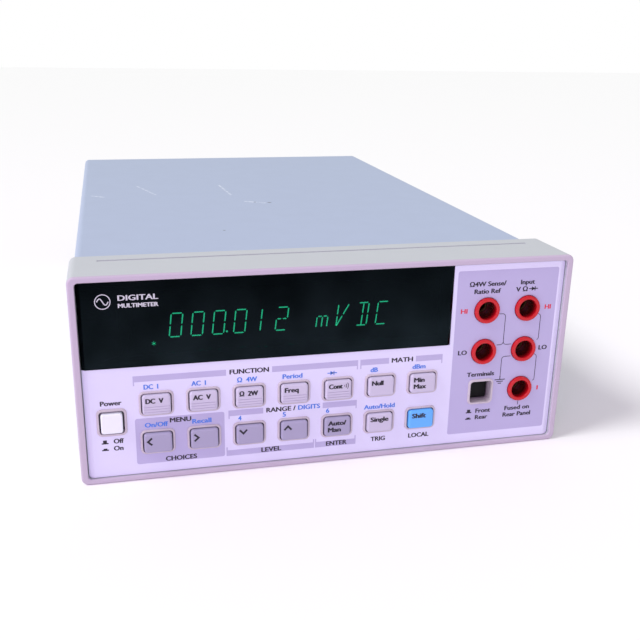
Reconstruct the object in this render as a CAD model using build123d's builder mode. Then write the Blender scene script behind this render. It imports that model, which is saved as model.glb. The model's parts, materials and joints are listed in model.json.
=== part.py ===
"""Half-rack bench multimeter, built as the separate pieces it comes apart into.

Frame: +Z up, the front panel faces -Y, +X is to the right for someone facing the panel.
The origin is the bottom centre of the whole instrument. Millimetres.
A "depth" below is a distance behind the plane of the front rim.
"""

import os
from math import cos, radians, sin

from build123d import *

os.makedirs("parts", exist_ok=True)

# ---------------------------------------------------------------- driving dimensions
WIDTH = 212.6                       # over the front bezel
HEIGHT = 88.5                       # over the front bezel, two rack units
DEPTH = 348.3                       # front rim to the back of the rear bezel
KEY_PROUD = 1.0                     # key faces ahead of the front rim
FRONT_Y = -(DEPTH - KEY_PROUD) / 2  # the rim's Y, which centres the instrument on the origin
MID_Z = HEIGHT / 2

# front bezel
BEZEL_DEPTH = 32.0
BEZEL_CORNER = 3.0
RIM_EDGE = 0.9                      # rounding of the rim's outer edge
OPENING_X = 103.5                   # half width of the panel opening
OPENING_Z = (2.3, 86.0)
LEDGE_DEPTH = 4.2                   # the panel's back rests here
GROOVE_DEPTH = 23.7                 # centre of the groove that locates a bumper
GROOVE_LENGTH = 190.0
SOCKET_RADIUS = 7.0                 # side sockets for a carrying handle's pivots
SOCKET_LENGTH = 5.0
SOCKET_DEPTH = 15.0

# front panel
PANEL_FACE = 1.2                    # depth of the panel's face
PANEL_GAP = 0.3
BEVEL_WIDTH = 2.2
BEVEL_DROP = 0.8
RIM_RISE = (0.4, 0.3)               # steep and rounded part of the key surrounds

# display window and tube
WINDOW_RIGHT = 51.5
WINDOW_BOTTOM = 50.1
WINDOW_FACE = 0.9
WINDOW_THICK = 2.2
GLASS_X = (-82.0, 44.0)
GLASS_Z = (55.6, 80.0)

# keypad, seven columns by two rows
KEY_PITCH_X = 19.05
KEY_LEFT_X = -74.8
KEY_ROWS_Z = (33.9, 16.8)
KEY_SIZE = (11.4, 8.6)
KEY_HOLE = (12.4, 9.3)
KEY_SURROUND = (14.1, 10.8)
KEY_TRAVEL = 1.2
KEY_NAMES = (
    ("key_dc_volts", "key_ac_volts", "key_ohms", "key_frequency", "key_continuity", "key_null",
     "key_min_max"),
    ("key_left", "key_right", "key_down", "key_up", "key_auto_manual", "key_single", "key_shift"),
)
RIBBED_KEYS = 5                     # keys of the upper row that carry three fine grooves

# push switches and jacks share one row height
LOW_ROW_Z = 26.9
POWER_X = -92.8
SELECTOR_X = 67.6
SWITCH_HOLE = 10.1
SWITCH_SURROUND = 12.0
PLUNGER = 8.6
POWER_PROUD = 0.8
POWER_TRAVEL = 3.5
SELECTOR_FACE = 4.5
SELECTOR_TRAVEL = 3.0
ROD = 5.0
ROD_HOLE = 5.6
SWITCH_HALF = 5.5                   # half width of the two switch bodies

JACK_PITCH = 19.05
JACK_X = (67.6, 67.6 + JACK_PITCH)
JACK_TOP_Z = LOW_ROW_Z + 2 * JACK_PITCH
JACK_RADIUS = 5.75
JACK_BORE = 4.05
JACK_HOLE = 5.95
JACK_FLANGE = 7.5
JACK_PROUD = 1.4
LIP = 0.7                           # rounding of a jack's mouth, turned in three flats
LIP_TURN = [radians(a) for a in (0, 30, 60, 90)]
SHROUD_LENGTH = 8.2
BARREL_LENGTH = 24.2
CONTACT_RADIUS = 3.0
CONTACT_BORE = 2.02
CONTACT_BORE_LENGTH = 18.0
JACK_NAMES = ("sense_high", "sense_low", "input_high", "input_low", "current")
JACK_PLACES = (
    (JACK_X[0], JACK_TOP_Z),
    (JACK_X[0], JACK_TOP_Z - JACK_PITCH),
    (JACK_X[1], JACK_TOP_Z),
    (JACK_X[1], JACK_TOP_Z - JACK_PITCH),
    (JACK_X[1], LOW_ROW_Z),
)

# sheet-metal sleeve
SLEEVE_SIZE = (209.7, 81.7)
SLEEVE_START = 24.0
SLEEVE_END = 340.0
SLEEVE_CORNER = 3.0
SLEEVE_WALL = 1.0

# rear end
REAR_SIZE = (208.4, 80.2)
REAR_MID_Z = 43.3
REAR_OPENING = (199.0, 71.0)
REAR_FACE = 334.3                   # depth of the rear panel's outer face
REAR_SHEET = 1.5
FOOT_SIZE = (34.0, 5.0)
FOOT_X = 76.0
BEZEL_SCREW_X = 94.5
BEZEL_SCREW_Z = 12.0

# inside
TRAY_Z = 6.0
SHEET = 1.2
BOARD_Z = 14.0
BOARD = 1.6
DISPLAY_BOARD_DEPTH = 12.9
FIT = 0.02                          # radial play between pressed or threaded pieces
CLEAR = 0.3                         # gap beside anything that moves


# ---------------------------------------------------------------- helpers
def behind(depth):
    """Plane parallel to the front at a depth; its local x is X and its local y is Z."""
    return Plane.XZ.offset(-(FRONT_Y + depth))


def block(size, centre, start, end, corner=0.0, mode=Mode.ADD):
    """Rectangle, optionally with round corners, carried from one depth to another."""
    with BuildSketch(behind(start)) as outline:
        with Locations(centre):
            if corner > 0:
                RectangleRounded(size[0], size[1], corner)
            else:
                Rectangle(size[0], size[1])
    extrude(outline.sketch, amount=start - end, mode=mode)


def disc(radius, centre, start, end, mode=Mode.ADD):
    """Circle carried from one depth to another."""
    with BuildSketch(behind(start)) as outline:
        with Locations(centre):
            Circle(radius)
    extrude(outline.sketch, amount=start - end, mode=mode)


def slab(x_range, depth_range, z_range, mode=Mode.ADD):
    """Plain box between two X, two depths and two Z."""
    spans = [b - a for a, b in (x_range, depth_range, z_range)]
    middle = [(a + b) / 2 for a, b in (x_range, depth_range, z_range)]
    with Locations((middle[0], FRONT_Y + middle[1], middle[2])):
        Box(*spans, mode=mode)


def post(radius, x, depth, z_range, mode=Mode.ADD):
    """Upright cylinder between two Z."""
    with Locations((x, FRONT_Y + depth, sum(z_range) / 2)):
        Cylinder(radius, z_range[1] - z_range[0], mode=mode)


def key_x(column):
    """X of a keypad column's centre."""
    return KEY_LEFT_X + column * KEY_PITCH_X


key_places = [(key_x(c), z) for z in KEY_ROWS_Z for c in range(len(KEY_NAMES[0]))]
opening_size = (2 * OPENING_X, OPENING_Z[1] - OPENING_Z[0])
opening_mid = (0, sum(OPENING_Z) / 2)
panel_size = (opening_size[0] - 2 * PANEL_GAP, opening_size[1] - 2 * PANEL_GAP)
panel_left = -panel_size[0] / 2
panel_top = opening_mid[1] + panel_size[1] / 2
panel_corner = 1.3

# ---------------------------------------------------------------- front bezel
with BuildPart() as front_bezel:
    block((WIDTH, HEIGHT), (0, MID_Z), 0, BEZEL_DEPTH, BEZEL_CORNER)
    fillet(front_bezel.faces().sort_by(Axis.Y)[0].edges(), RIM_EDGE)
    fillet(front_bezel.faces().sort_by(Axis.Y)[-1].edges(), 0.4)
    block(opening_size, opening_mid, 0, LEDGE_DEPTH, 1.5, mode=Mode.SUBTRACT)
    block((199.0, 76.5), (0, MID_Z), LEDGE_DEPTH, 6.2, 2.0, mode=Mode.SUBTRACT)
    block((205.0, 77.0), (0, MID_Z), 6.2, SLEEVE_START, 3.0, mode=Mode.SUBTRACT)
    pocket = (SLEEVE_SIZE[0] + 0.2, SLEEVE_SIZE[1] + 0.2)
    block(pocket, (0, MID_Z), SLEEVE_START, BEZEL_DEPTH, SLEEVE_CORNER + 0.1, mode=Mode.SUBTRACT)
    for side in (-1, 1):
        with BuildSketch(Plane.YZ.offset(side * WIDTH / 2)) as boss:
            with Locations((FRONT_Y + SOCKET_DEPTH, MID_Z)):
                Circle(SOCKET_RADIUS + 1.6)
        extrude(boss.sketch, amount=-side * (SOCKET_LENGTH + 1.8))
        with BuildSketch(Plane.YZ.offset(side * WIDTH / 2)) as socket:
            with Locations((FRONT_Y + SOCKET_DEPTH, MID_Z)):
                Circle(SOCKET_RADIUS)
        extrude(socket.sketch, amount=-side * SOCKET_LENGTH, mode=Mode.SUBTRACT)
    for z in (0.4, HEIGHT - 0.4):
        slab((-GROOVE_LENGTH / 2, GROOVE_LENGTH / 2), (GROOVE_DEPTH - 0.8, GROOVE_DEPTH + 0.8),
             (z - 0.4, z + 0.4), mode=Mode.SUBTRACT)
    inner_rim = front_bezel.faces().sort_by(Axis.Y)[0].inner_wires()[0].edges()
    chamfer(inner_rim, 0.3)
front_bezel.part.label = "front_bezel"
export_step(front_bezel.part, "parts/front_bezel.step")

# ---------------------------------------------------------------- front panel
with BuildPart() as front_panel:
    # plan of the plate: flat face with its left and right edges bevelled back
    half = panel_size[0] / 2
    with BuildSketch(Plane.XY.offset(OPENING_Z[0])) as plan:
        with BuildLine():
            Polyline(
                (-half, FRONT_Y + PANEL_FACE + BEVEL_DROP),
                (-half + BEVEL_WIDTH, FRONT_Y + PANEL_FACE),
                (half - BEVEL_WIDTH, FRONT_Y + PANEL_FACE),
                (half, FRONT_Y + PANEL_FACE + BEVEL_DROP),
                (half, FRONT_Y + LEDGE_DEPTH),
                (-half, FRONT_Y + LEDGE_DEPTH),
                close=True,
            )
        make_face()
    extrude(plan.sketch, amount=opening_size[1])
    block(panel_size, opening_mid, 0, LEDGE_DEPTH, panel_corner, mode=Mode.INTERSECT)
    # raised surrounds of the keys and the two push switches: a steep flank, then a sloping shoulder
    for start, rise, flank, shrink in (
        (PANEL_FACE, RIM_RISE[0], 8, 0.0),
        (PANEL_FACE - RIM_RISE[0], RIM_RISE[1], 45, 0.12),
    ):
        with BuildSketch(behind(start)) as surrounds:
            with Locations(*key_places):
                RectangleRounded(KEY_SURROUND[0] - shrink, KEY_SURROUND[1] - shrink, 2.2)
            with Locations((POWER_X, LOW_ROW_Z), (SELECTOR_X, LOW_ROW_Z)):
                RectangleRounded(SWITCH_SURROUND - shrink, SWITCH_SURROUND - shrink, 2.2)
        extrude(surrounds.sketch, amount=rise, taper=flank)
    # square well that guides the recessed selector plunger
    block((SWITCH_HOLE + 2.2,) * 2, (SELECTOR_X, LOW_ROW_Z), LEDGE_DEPTH, 9.0, 1.2)
    # openings
    with BuildSketch(behind(0)) as holes:
        with Locations(*key_places):
            RectangleRounded(*KEY_HOLE, 1.6)
        with Locations((POWER_X, LOW_ROW_Z), (SELECTOR_X, LOW_ROW_Z)):
            RectangleRounded(SWITCH_HOLE, SWITCH_HOLE, 1.4)
        with Locations(*JACK_PLACES):
            Circle(JACK_HOLE)
    extrude(holes.sketch, amount=-10, mode=Mode.SUBTRACT)
    # seat of the display window, open at the left and the top
    seat_back = WINDOW_FACE + WINDOW_THICK
    slab((panel_left - 1, WINDOW_RIGHT), (0, seat_back), (WINDOW_BOTTOM, panel_top + 1), mode=Mode.SUBTRACT)
    slab((GLASS_X[0] - 6, GLASS_X[1] + 2), (0, LEDGE_DEPTH), (GLASS_Z[0] - 1, GLASS_Z[1] + 1),
         mode=Mode.SUBTRACT)
front_panel.part.label = "front_panel"
export_step(front_panel.part, "parts/front_panel.step")

# ---------------------------------------------------------------- display
with BuildPart() as display_window:
    left = panel_left
    right = WINDOW_RIGHT - 0.1
    with BuildSketch(Plane.XY.offset(WINDOW_BOTTOM + 0.1)) as plan:
        with BuildLine():
            Polyline(
                (left, FRONT_Y + WINDOW_FACE + 1.0),
                (left + 1.5, FRONT_Y + WINDOW_FACE),
                (right - 1.0, FRONT_Y + WINDOW_FACE),
                (right, FRONT_Y + WINDOW_FACE + 0.6),
                (right, FRONT_Y + WINDOW_FACE + WINDOW_THICK),
                (left, FRONT_Y + WINDOW_FACE + WINDOW_THICK),
                close=True,
            )
        make_face()
    extrude(plan.sketch, amount=panel_top - WINDOW_BOTTOM - 0.1)
    fillet(display_window.edges().filter_by(Axis.Y).sort_by(Axis.X)[0:2].sort_by(Axis.Z)[-1:], panel_corner)
    fillet(display_window.edges().filter_by(Axis.Y).sort_by(Axis.X)[-2:].sort_by(Axis.Z)[:1], 1.2)
display_window.part.label = "display_window"
export_step(display_window.part, "parts/display_window.step")

with BuildPart() as display_tube:
    slab(GLASS_X, (5.4, 12.7), GLASS_Z)
    fillet(display_tube.edges().filter_by(Axis.Y), 1.0)
    chamfer(display_tube.faces().sort_by(Axis.Y)[0].edges(), 0.5)
    disc(2.2, (GLASS_X[1] - 0.5, GLASS_Z[1] - 6), 8.0, 12.0, mode=Mode.SUBTRACT)
display_tube.part.label = "display_tube"
export_step(display_tube.part, "parts/display_tube.step")

with BuildPart() as display_board:
    slab((-84.0, 56.0), (DISPLAY_BOARD_DEPTH, DISPLAY_BOARD_DEPTH + BOARD), (8.5, 82.0))
    with BuildSketch(behind(DISPLAY_BOARD_DEPTH)) as notches:
        with Locations((-81.0, 12.0), (53.0, 12.0), (-81.0, 79.0), (53.0, 79.0)):
            Circle(1.7)
    extrude(notches.sketch, amount=-BOARD, mode=Mode.SUBTRACT)
display_board.part.label = "display_board"
export_step(display_board.part, "parts/display_board.step")

# ---------------------------------------------------------------- keypad
STEM_RADIUS = 1.6
DOME_HOLE = 2.2
with BuildPart() as keypad_mat:
    mat_front = DISPLAY_BOARD_DEPTH - 1.3
    slab((-83.5, 48.5), (mat_front, DISPLAY_BOARD_DEPTH), (9.5, 41.2))
    with BuildSketch(behind(mat_front)) as domes:
        with Locations(*key_places):
            Circle(4.6)
    extrude(domes.sketch, amount=2.4, taper=22)
    with BuildSketch(behind(mat_front - 3)) as stems:
        with Locations(*key_places):
            Circle(DOME_HOLE)
    extrude(stems.sketch, amount=-6, mode=Mode.SUBTRACT)
keypad_mat.part.label = "keypad_mat"
export_step(keypad_mat.part, "parts/keypad_mat.step")

for row, names in enumerate(KEY_NAMES):
    for column, key_name in enumerate(names):
        centre = (key_x(column), KEY_ROWS_Z[row])
        with BuildPart() as key_cap:
            block(KEY_SIZE, centre, -KEY_PROUD, LEDGE_DEPTH + CLEAR, 1.3)
            fillet(key_cap.faces().sort_by(Axis.Y)[0].edges(), 0.9)
            if row == 0 and column < RIBBED_KEYS:
                for drop in (0.7, 1.85, 3.0):
                    block((10.4, 0.3), (centre[0], centre[1] - drop), -KEY_PROUD, 0.22 - KEY_PROUD,
                          mode=Mode.SUBTRACT)
            block((13.3, 9.8), centre, LEDGE_DEPTH + CLEAR, 5.5, 1.0)
            disc(STEM_RADIUS, centre, 5.5, DISPLAY_BOARD_DEPTH - CLEAR - KEY_TRAVEL)
        key_cap.part.label = key_name
        export_step(key_cap.part, f"parts/{key_name}.step")

# ---------------------------------------------------------------- push switches
POWER_ROD_END = 56.0
with BuildPart() as power_button:
    centre = (POWER_X, LOW_ROW_Z)
    block((PLUNGER, PLUNGER), centre, -POWER_PROUD, 14.0, 1.1)
    fillet(power_button.faces().sort_by(Axis.Y)[0].edges(), 0.6)
    stop = LEDGE_DEPTH + POWER_TRAVEL + CLEAR
    block((11.6, 11.6), centre, stop, stop + 1.5, 0.9)
    block((ROD, ROD), centre, 14.0, POWER_ROD_END)
power_button.part.label = "power_button"
export_step(power_button.part, "parts/power_button.step")

with BuildPart() as power_switch:
    slab((POWER_X - SWITCH_HALF, POWER_X + SWITCH_HALF), (46.0, 72.0), (BOARD_Z + BOARD, 36.0))
    block((ROD_HOLE, ROD_HOLE), (POWER_X, LOW_ROW_Z), 46.0, POWER_ROD_END + 4, mode=Mode.SUBTRACT)
power_switch.part.label = "power_switch"
export_step(power_switch.part, "parts/power_switch.step")

SELECTOR_ROD_END = 64.0              # the rod stops here with the plunger at rest
with BuildPart() as selector_button:
    centre = (SELECTOR_X, LOW_ROW_Z)
    block((PLUNGER, PLUNGER), centre, SELECTOR_FACE, 16.0, 0.7)
    fillet(selector_button.faces().sort_by(Axis.Y)[0].edges(), 0.4)
    block((12.4, 12.4), centre, 9.0 + CLEAR, 10.9, 0.7)
    block((ROD, ROD), centre, 16.0, SELECTOR_ROD_END)
selector_button.part.label = "selector_button"
export_step(selector_button.part, "parts/selector_button.step")

with BuildPart() as selector_switch:
    slab((SELECTOR_X - SWITCH_HALF, SELECTOR_X + SWITCH_HALF), (56.0, 90.0), (BOARD_Z + BOARD, 36.0))
    block((ROD_HOLE, ROD_HOLE), (SELECTOR_X, LOW_ROW_Z), 56.0, SELECTOR_ROD_END + SELECTOR_TRAVEL + 3,
          mode=Mode.SUBTRACT)
selector_switch.part.label = "selector_switch"
export_step(selector_switch.part, "parts/selector_switch.step")


# ---------------------------------------------------------------- jacks
def turned(outline, centre, face, inward):
    """Solid turned about a jack's axis from (radius, distance from the mouth) points."""
    with BuildSketch(Plane.XY.offset(centre[1])) as profile:
        with BuildLine():
            Polyline(*[(centre[0] + r, FRONT_Y + face + inward * s) for r, s in outline], close=True)
        make_face()
    revolve(profile.sketch, axis=Axis((centre[0], FRONT_Y + face, centre[1]), (0, 1, 0)))


def jack_shell(centre, face, inward):
    """Shrouded 4 mm jack: its mouth is at depth `face` and its barrel runs along `inward` (+1 or -1)."""
    flange = JACK_PROUD + LEDGE_DEPTH - PANEL_FACE + 0.2
    outline = (
        *[(JACK_BORE + LIP * (1 - sin(a)), LIP * (1 - cos(a))) for a in LIP_TURN[::-1]],
        *[(JACK_RADIUS - LIP * (1 - sin(a)), LIP * (1 - cos(a))) for a in LIP_TURN],
        (JACK_RADIUS, flange),
        (JACK_FLANGE, flange), (JACK_FLANGE, flange + 2), (JACK_RADIUS, flange + 2),
        (JACK_RADIUS, BARREL_LENGTH), (CONTACT_RADIUS + FIT, BARREL_LENGTH),
        (CONTACT_RADIUS + FIT, SHROUD_LENGTH), (JACK_BORE, SHROUD_LENGTH),
    )
    turned(outline, centre, face, inward)


def jack_contact(centre, face, inward):
    """Spring contact tube behind the shroud, open towards the mouth."""
    start = SHROUD_LENGTH
    outline = (
        (CONTACT_BORE + 0.35, start), (CONTACT_RADIUS - 0.25, start), (CONTACT_RADIUS, start + 0.25),
        (CONTACT_RADIUS, start + 26), (0, start + 26), (0, start + CONTACT_BORE_LENGTH),
        (CONTACT_BORE, start + CONTACT_BORE_LENGTH), (CONTACT_BORE, start + 0.35),
    )
    turned(outline, centre, face, inward)


JACK_FACE = PANEL_FACE - JACK_PROUD
for jack_name, centre in zip(JACK_NAMES, JACK_PLACES):
    with BuildPart() as jack:
        jack_shell(centre, JACK_FACE, 1)
    jack.part.label = f"front_jack_{jack_name}"
    export_step(jack.part, f"parts/front_jack_{jack_name}.step")

with BuildPart() as front_contacts:
    for centre in JACK_PLACES:
        jack_contact(centre, JACK_FACE, 1)
front_contacts.part.label = "front_contacts"
export_step(front_contacts.part, "parts/front_contacts.step")

REAR_JACK_X = (85.5, 85.5 - JACK_PITCH)
REAR_JACK_FACE = REAR_FACE + 1.4
REAR_JACK_PLACES = (
    (REAR_JACK_X[0], JACK_TOP_Z),
    (REAR_JACK_X[0], JACK_TOP_Z - JACK_PITCH),
    (REAR_JACK_X[1], JACK_TOP_Z),
    (REAR_JACK_X[1], JACK_TOP_Z - JACK_PITCH),
    (REAR_JACK_X[0], LOW_ROW_Z),
)
with BuildPart() as rear_jacks:
    for centre in REAR_JACK_PLACES:
        jack_shell(centre, REAR_JACK_FACE, -1)
rear_jacks.part.label = "rear_jacks"
export_step(rear_jacks.part, "parts/rear_jacks.step")

with BuildPart() as rear_contacts:
    for centre in REAR_JACK_PLACES:
        jack_contact(centre, REAR_JACK_FACE, -1)
rear_contacts.part.label = "rear_contacts"
export_step(rear_contacts.part, "parts/rear_contacts.step")

# ---------------------------------------------------------------- sleeve and its screw
COVER_SCREW_DEPTH = 300.0
with BuildPart() as cover_sleeve:
    block(SLEEVE_SIZE, (0, MID_Z), SLEEVE_START, SLEEVE_END, SLEEVE_CORNER)
    inner_size = (SLEEVE_SIZE[0] - 2 * SLEEVE_WALL, SLEEVE_SIZE[1] - 2 * SLEEVE_WALL)
    block(inner_size, (0, MID_Z), SLEEVE_START, SLEEVE_END, SLEEVE_CORNER - SLEEVE_WALL, mode=Mode.SUBTRACT)
    post(1.7, 0, COVER_SCREW_DEPTH, (0, 10), mode=Mode.SUBTRACT)
cover_sleeve.part.label = "cover_sleeve"
export_step(cover_sleeve.part, "parts/cover_sleeve.step")

with BuildPart() as cover_screw:
    sleeve_bottom = MID_Z - SLEEVE_SIZE[1] / 2
    post(3.0, 0, COVER_SCREW_DEPTH, (sleeve_bottom - 2.0, sleeve_bottom))
    post(1.5, 0, COVER_SCREW_DEPTH, (sleeve_bottom, TRAY_Z + SHEET + 1.5))
    slab((-2.2, 2.2), (COVER_SCREW_DEPTH - 0.4, COVER_SCREW_DEPTH + 0.4),
         (sleeve_bottom - 2.0, sleeve_bottom - 1.0), mode=Mode.SUBTRACT)
cover_screw.part.label = "cover_screw"
export_step(cover_screw.part, "parts/cover_screw.step")

# ---------------------------------------------------------------- rear bezel, panel and screws
with BuildPart() as rear_bezel:
    insert_size = (inner_size[0] - 0.4, inner_size[1] - 0.4)
    block(insert_size, (0, MID_Z), 326.0, SLEEVE_END, 2.0)
    block(REAR_SIZE, (0, REAR_MID_Z), SLEEVE_END, DEPTH, BEZEL_CORNER)
    fillet(rear_bezel.faces().sort_by(Axis.Y)[-1].edges(), 1.2)
    foot_top = REAR_MID_Z - REAR_SIZE[1] / 2 + 2.0
    for side in (-1, 1):
        slab((side * FOOT_X - FOOT_SIZE[0] / 2, side * FOOT_X + FOOT_SIZE[0] / 2),
             (SLEEVE_END + 0.6, SLEEVE_END + 0.6 + FOOT_SIZE[1]), (0, foot_top))
    block(REAR_OPENING, (0, MID_Z), REAR_FACE, DEPTH, 2.5, mode=Mode.SUBTRACT)
    block((203.0, 75.0), (0, MID_Z), 326.0, REAR_FACE, 2.0, mode=Mode.SUBTRACT)
    for side in (-1, 1):
        screw_place = (side * BEZEL_SCREW_X, BEZEL_SCREW_Z)
        block((11.0, 9.0), screw_place, REAR_FACE, 344.0)
        disc(1.7, screw_place, REAR_FACE, 344.0, mode=Mode.SUBTRACT)
rear_bezel.part.label = "rear_bezel"
export_step(rear_bezel.part, "parts/rear_bezel.step")

with BuildPart() as bezel_screws:
    for side in (-1, 1):
        screw_place = (side * BEZEL_SCREW_X, BEZEL_SCREW_Z)
        disc(3.2, screw_place, 344.0, 346.6)
        disc(1.5, screw_place, 330.0, 344.0)
        block((4.6, 0.8), screw_place, 345.6, 346.6, mode=Mode.SUBTRACT)
bezel_screws.part.label = "bezel_screws"
export_step(bezel_screws.part, "parts/bezel_screws.step")

# places on the rear panel
INLET = (-80.0, 44.0)
INLET_BODY = (27.0, 47.0)
SOCKET_MID_Z = INLET[1] - 11.0
DRAWER_MID_Z = INLET[1] + 13.5
FUSE = (43.5, LOW_ROW_Z)
TRIGGER_BNC = (45.0, 63.0)
COMPLETE_BNC = (22.0, 63.0)
BUS = (-24.0, 60.0)
SERIAL = (0.0, 27.0)
GROUND = (-46.0, 24.0)
BUS_SHELL = (50.0, 11.4)
SERIAL_SHELL = (18.2, 9.6)
BNC_RADIUS = 4.8
BNC_END = 346.2

with BuildPart() as rear_panel:
    block((202.6, 74.6), (0, MID_Z), REAR_FACE - REAR_SHEET, REAR_FACE, 1.8)
    with BuildSketch(behind(REAR_FACE - REAR_SHEET)) as cuts:
        with Locations(*REAR_JACK_PLACES):
            Circle(JACK_HOLE)
        with Locations(INLET):
            Rectangle(INLET_BODY[0] + 0.4, INLET_BODY[1] + 0.4)
        with Locations(FUSE):
            Circle(7.1)
        with Locations(TRIGGER_BNC, COMPLETE_BNC):
            Circle(4.9)
        with Locations(BUS):
            Rectangle(BUS_SHELL[0] + 1, BUS_SHELL[1] + 0.8)
        with Locations(SERIAL):
            Rectangle(SERIAL_SHELL[0] + 1, SERIAL_SHELL[1] + 0.8)
        with Locations(GROUND):
            Circle(2.02)
        with Locations((BEZEL_SCREW_X, BEZEL_SCREW_Z), (-BEZEL_SCREW_X, BEZEL_SCREW_Z)):
            Circle(1.52)
    extrude(cuts.sketch, amount=-REAR_SHEET, mode=Mode.SUBTRACT)
rear_panel.part.label = "rear_panel"
export_step(rear_panel.part, "parts/rear_panel.step")

# ---------------------------------------------------------------- mains inlet with fuse drawer
FLANGE_BACK = REAR_FACE + 2.0
DRAWER_SIZE = (22.4, 13.4)
with BuildPart() as power_inlet:
    block(INLET_BODY, INLET, 312.0, REAR_FACE)
    block((31.0, 51.0), INLET, REAR_FACE, FLANGE_BACK, 2.0)
    fillet(power_inlet.faces().sort_by(Axis.Y)[-1].edges(), 0.5)
    with BuildSketch(behind(FLANGE_BACK)) as mouth:
        with Locations((INLET[0], SOCKET_MID_Z)):
            Rectangle(24.4, 16.8)
            chamfer(mouth.vertices().sort_by(Axis.Z)[-2:], 4.0)
    extrude(mouth.sketch, amount=16.0, mode=Mode.SUBTRACT)
    block((DRAWER_SIZE[0] + 2 * CLEAR, DRAWER_SIZE[1] + 2 * CLEAR), (INLET[0], DRAWER_MID_Z), 315.0,
          FLANGE_BACK, mode=Mode.SUBTRACT)
    for across, up in ((-7.0, -2.0), (7.0, -2.0), (0.0, 3.0)):
        block((2.0, 4.0), (INLET[0] + across, SOCKET_MID_Z + up), FLANGE_BACK - 16.0, FLANGE_BACK - 3.0)
power_inlet.part.label = "power_inlet"
export_step(power_inlet.part, "parts/power_inlet.step")

with BuildPart() as fuse_drawer:
    drawer_mid = (INLET[0], DRAWER_MID_Z)
    block(DRAWER_SIZE, drawer_mid, 315.0 + CLEAR, FLANGE_BACK + 1.2)
    fillet(fuse_drawer.faces().sort_by(Axis.Y)[-1].edges(), 0.5)
    block((16.0, 6.0), (INLET[0], DRAWER_MID_Z), 318.0, 333.0, 1.0, mode=Mode.SUBTRACT)
    slab((INLET[0] - 12, INLET[0] + 12), (320.0, 331.0), (DRAWER_MID_Z, DRAWER_MID_Z + 8), mode=Mode.SUBTRACT)
    block((8.0, 2.0), (INLET[0], DRAWER_MID_Z - 4.2), FLANGE_BACK - 0.8, FLANGE_BACK + 1.2,
          mode=Mode.SUBTRACT)
fuse_drawer.part.label = "fuse_drawer"
export_step(fuse_drawer.part, "parts/fuse_drawer.step")

# ---------------------------------------------------------------- current fuse
CARRIER_START = 302.0
with BuildPart() as fuse_holder:
    disc(7.0, FUSE, 298.0, REAR_FACE)
    disc(9.0, FUSE, REAR_FACE, FLANGE_BACK)
    disc(5.2, FUSE, 300.0, FLANGE_BACK, mode=Mode.SUBTRACT)
fuse_holder.part.label = "fuse_holder"
export_step(fuse_holder.part, "parts/fuse_holder.step")

with BuildPart() as fuse_carrier:
    disc(4.8, FUSE, CARRIER_START, FLANGE_BACK)
    disc(2.4, FUSE, FLANGE_BACK, FLANGE_BACK + 7.0)
    fillet(fuse_carrier.faces().sort_by(Axis.Y)[0].edges(), 1.0)
fuse_carrier.part.label = "fuse_carrier"
export_step(fuse_carrier.part, "parts/fuse_carrier.step")

with BuildPart() as fuse_cap:
    cap_start = FLANGE_BACK + CLEAR
    cap_end = cap_start + 9.0
    disc(7.2, FUSE, cap_start, cap_end)
    fillet(fuse_cap.faces().sort_by(Axis.Y)[-1].edges(), 0.8)
    disc(2.4 + CLEAR, FUSE, cap_start, FLANGE_BACK + 7.0 + CLEAR, mode=Mode.SUBTRACT)
    block((11.0, 1.6), FUSE, cap_end - 1.2, cap_end, mode=Mode.SUBTRACT)
fuse_cap.part.label = "fuse_cap"
export_step(fuse_cap.part, "parts/fuse_cap.step")

# ---------------------------------------------------------------- signal connectors
for bnc_name, place in (("trigger_connector", TRIGGER_BNC), ("complete_connector", COMPLETE_BNC)):
    with BuildPart() as bnc:
        disc(BNC_RADIUS, place, 318.0, BNC_END)
        with BuildSketch(behind(REAR_FACE)) as nut:
            with Locations(place):
                RegularPolygon(7.6, 6)
        extrude(nut.sketch, amount=-2.6)
        with Locations(Location((place[0], FRONT_Y + BNC_END - 3.6, place[1]), (0, 90, 0))):
            Cylinder(1.0, 12.4)
        disc(BNC_RADIUS - 0.7, place, 338.0, BNC_END, mode=Mode.SUBTRACT)
        disc(2.4, place, 338.0, BNC_END - 1.8)
        disc(0.7, place, 339.0, BNC_END - 1.8, mode=Mode.SUBTRACT)
    bnc.part.label = bnc_name
    export_step(bnc.part, f"parts/{bnc_name}.step")

with BuildPart() as bus_connector:
    block((67.0, 14.4), BUS, REAR_FACE, FLANGE_BACK, 1.5)
    with BuildSketch(behind(FLANGE_BACK)) as shell:
        with Locations(BUS):
            Trapezoid(BUS_SHELL[0], BUS_SHELL[1], 78)
            fillet(shell.vertices(), 1.6)
    extrude(shell.sketch, amount=-6.4)
    block((42.0, 3.6), BUS, FLANGE_BACK + 0.4, FLANGE_BACK + 6.4, 0.6, mode=Mode.SUBTRACT)
    block((BUS_SHELL[0], BUS_SHELL[1]), BUS, 322.0, REAR_FACE)
    with BuildSketch(behind(FLANGE_BACK)) as studs:
        with Locations((BUS[0] - 29.6, BUS[1]), (BUS[0] + 29.6, BUS[1])):
            RegularPolygon(3.6, 6)
    extrude(studs.sketch, amount=-6.0)
bus_connector.part.label = "bus_connector"
export_step(bus_connector.part, "parts/bus_connector.step")

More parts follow.
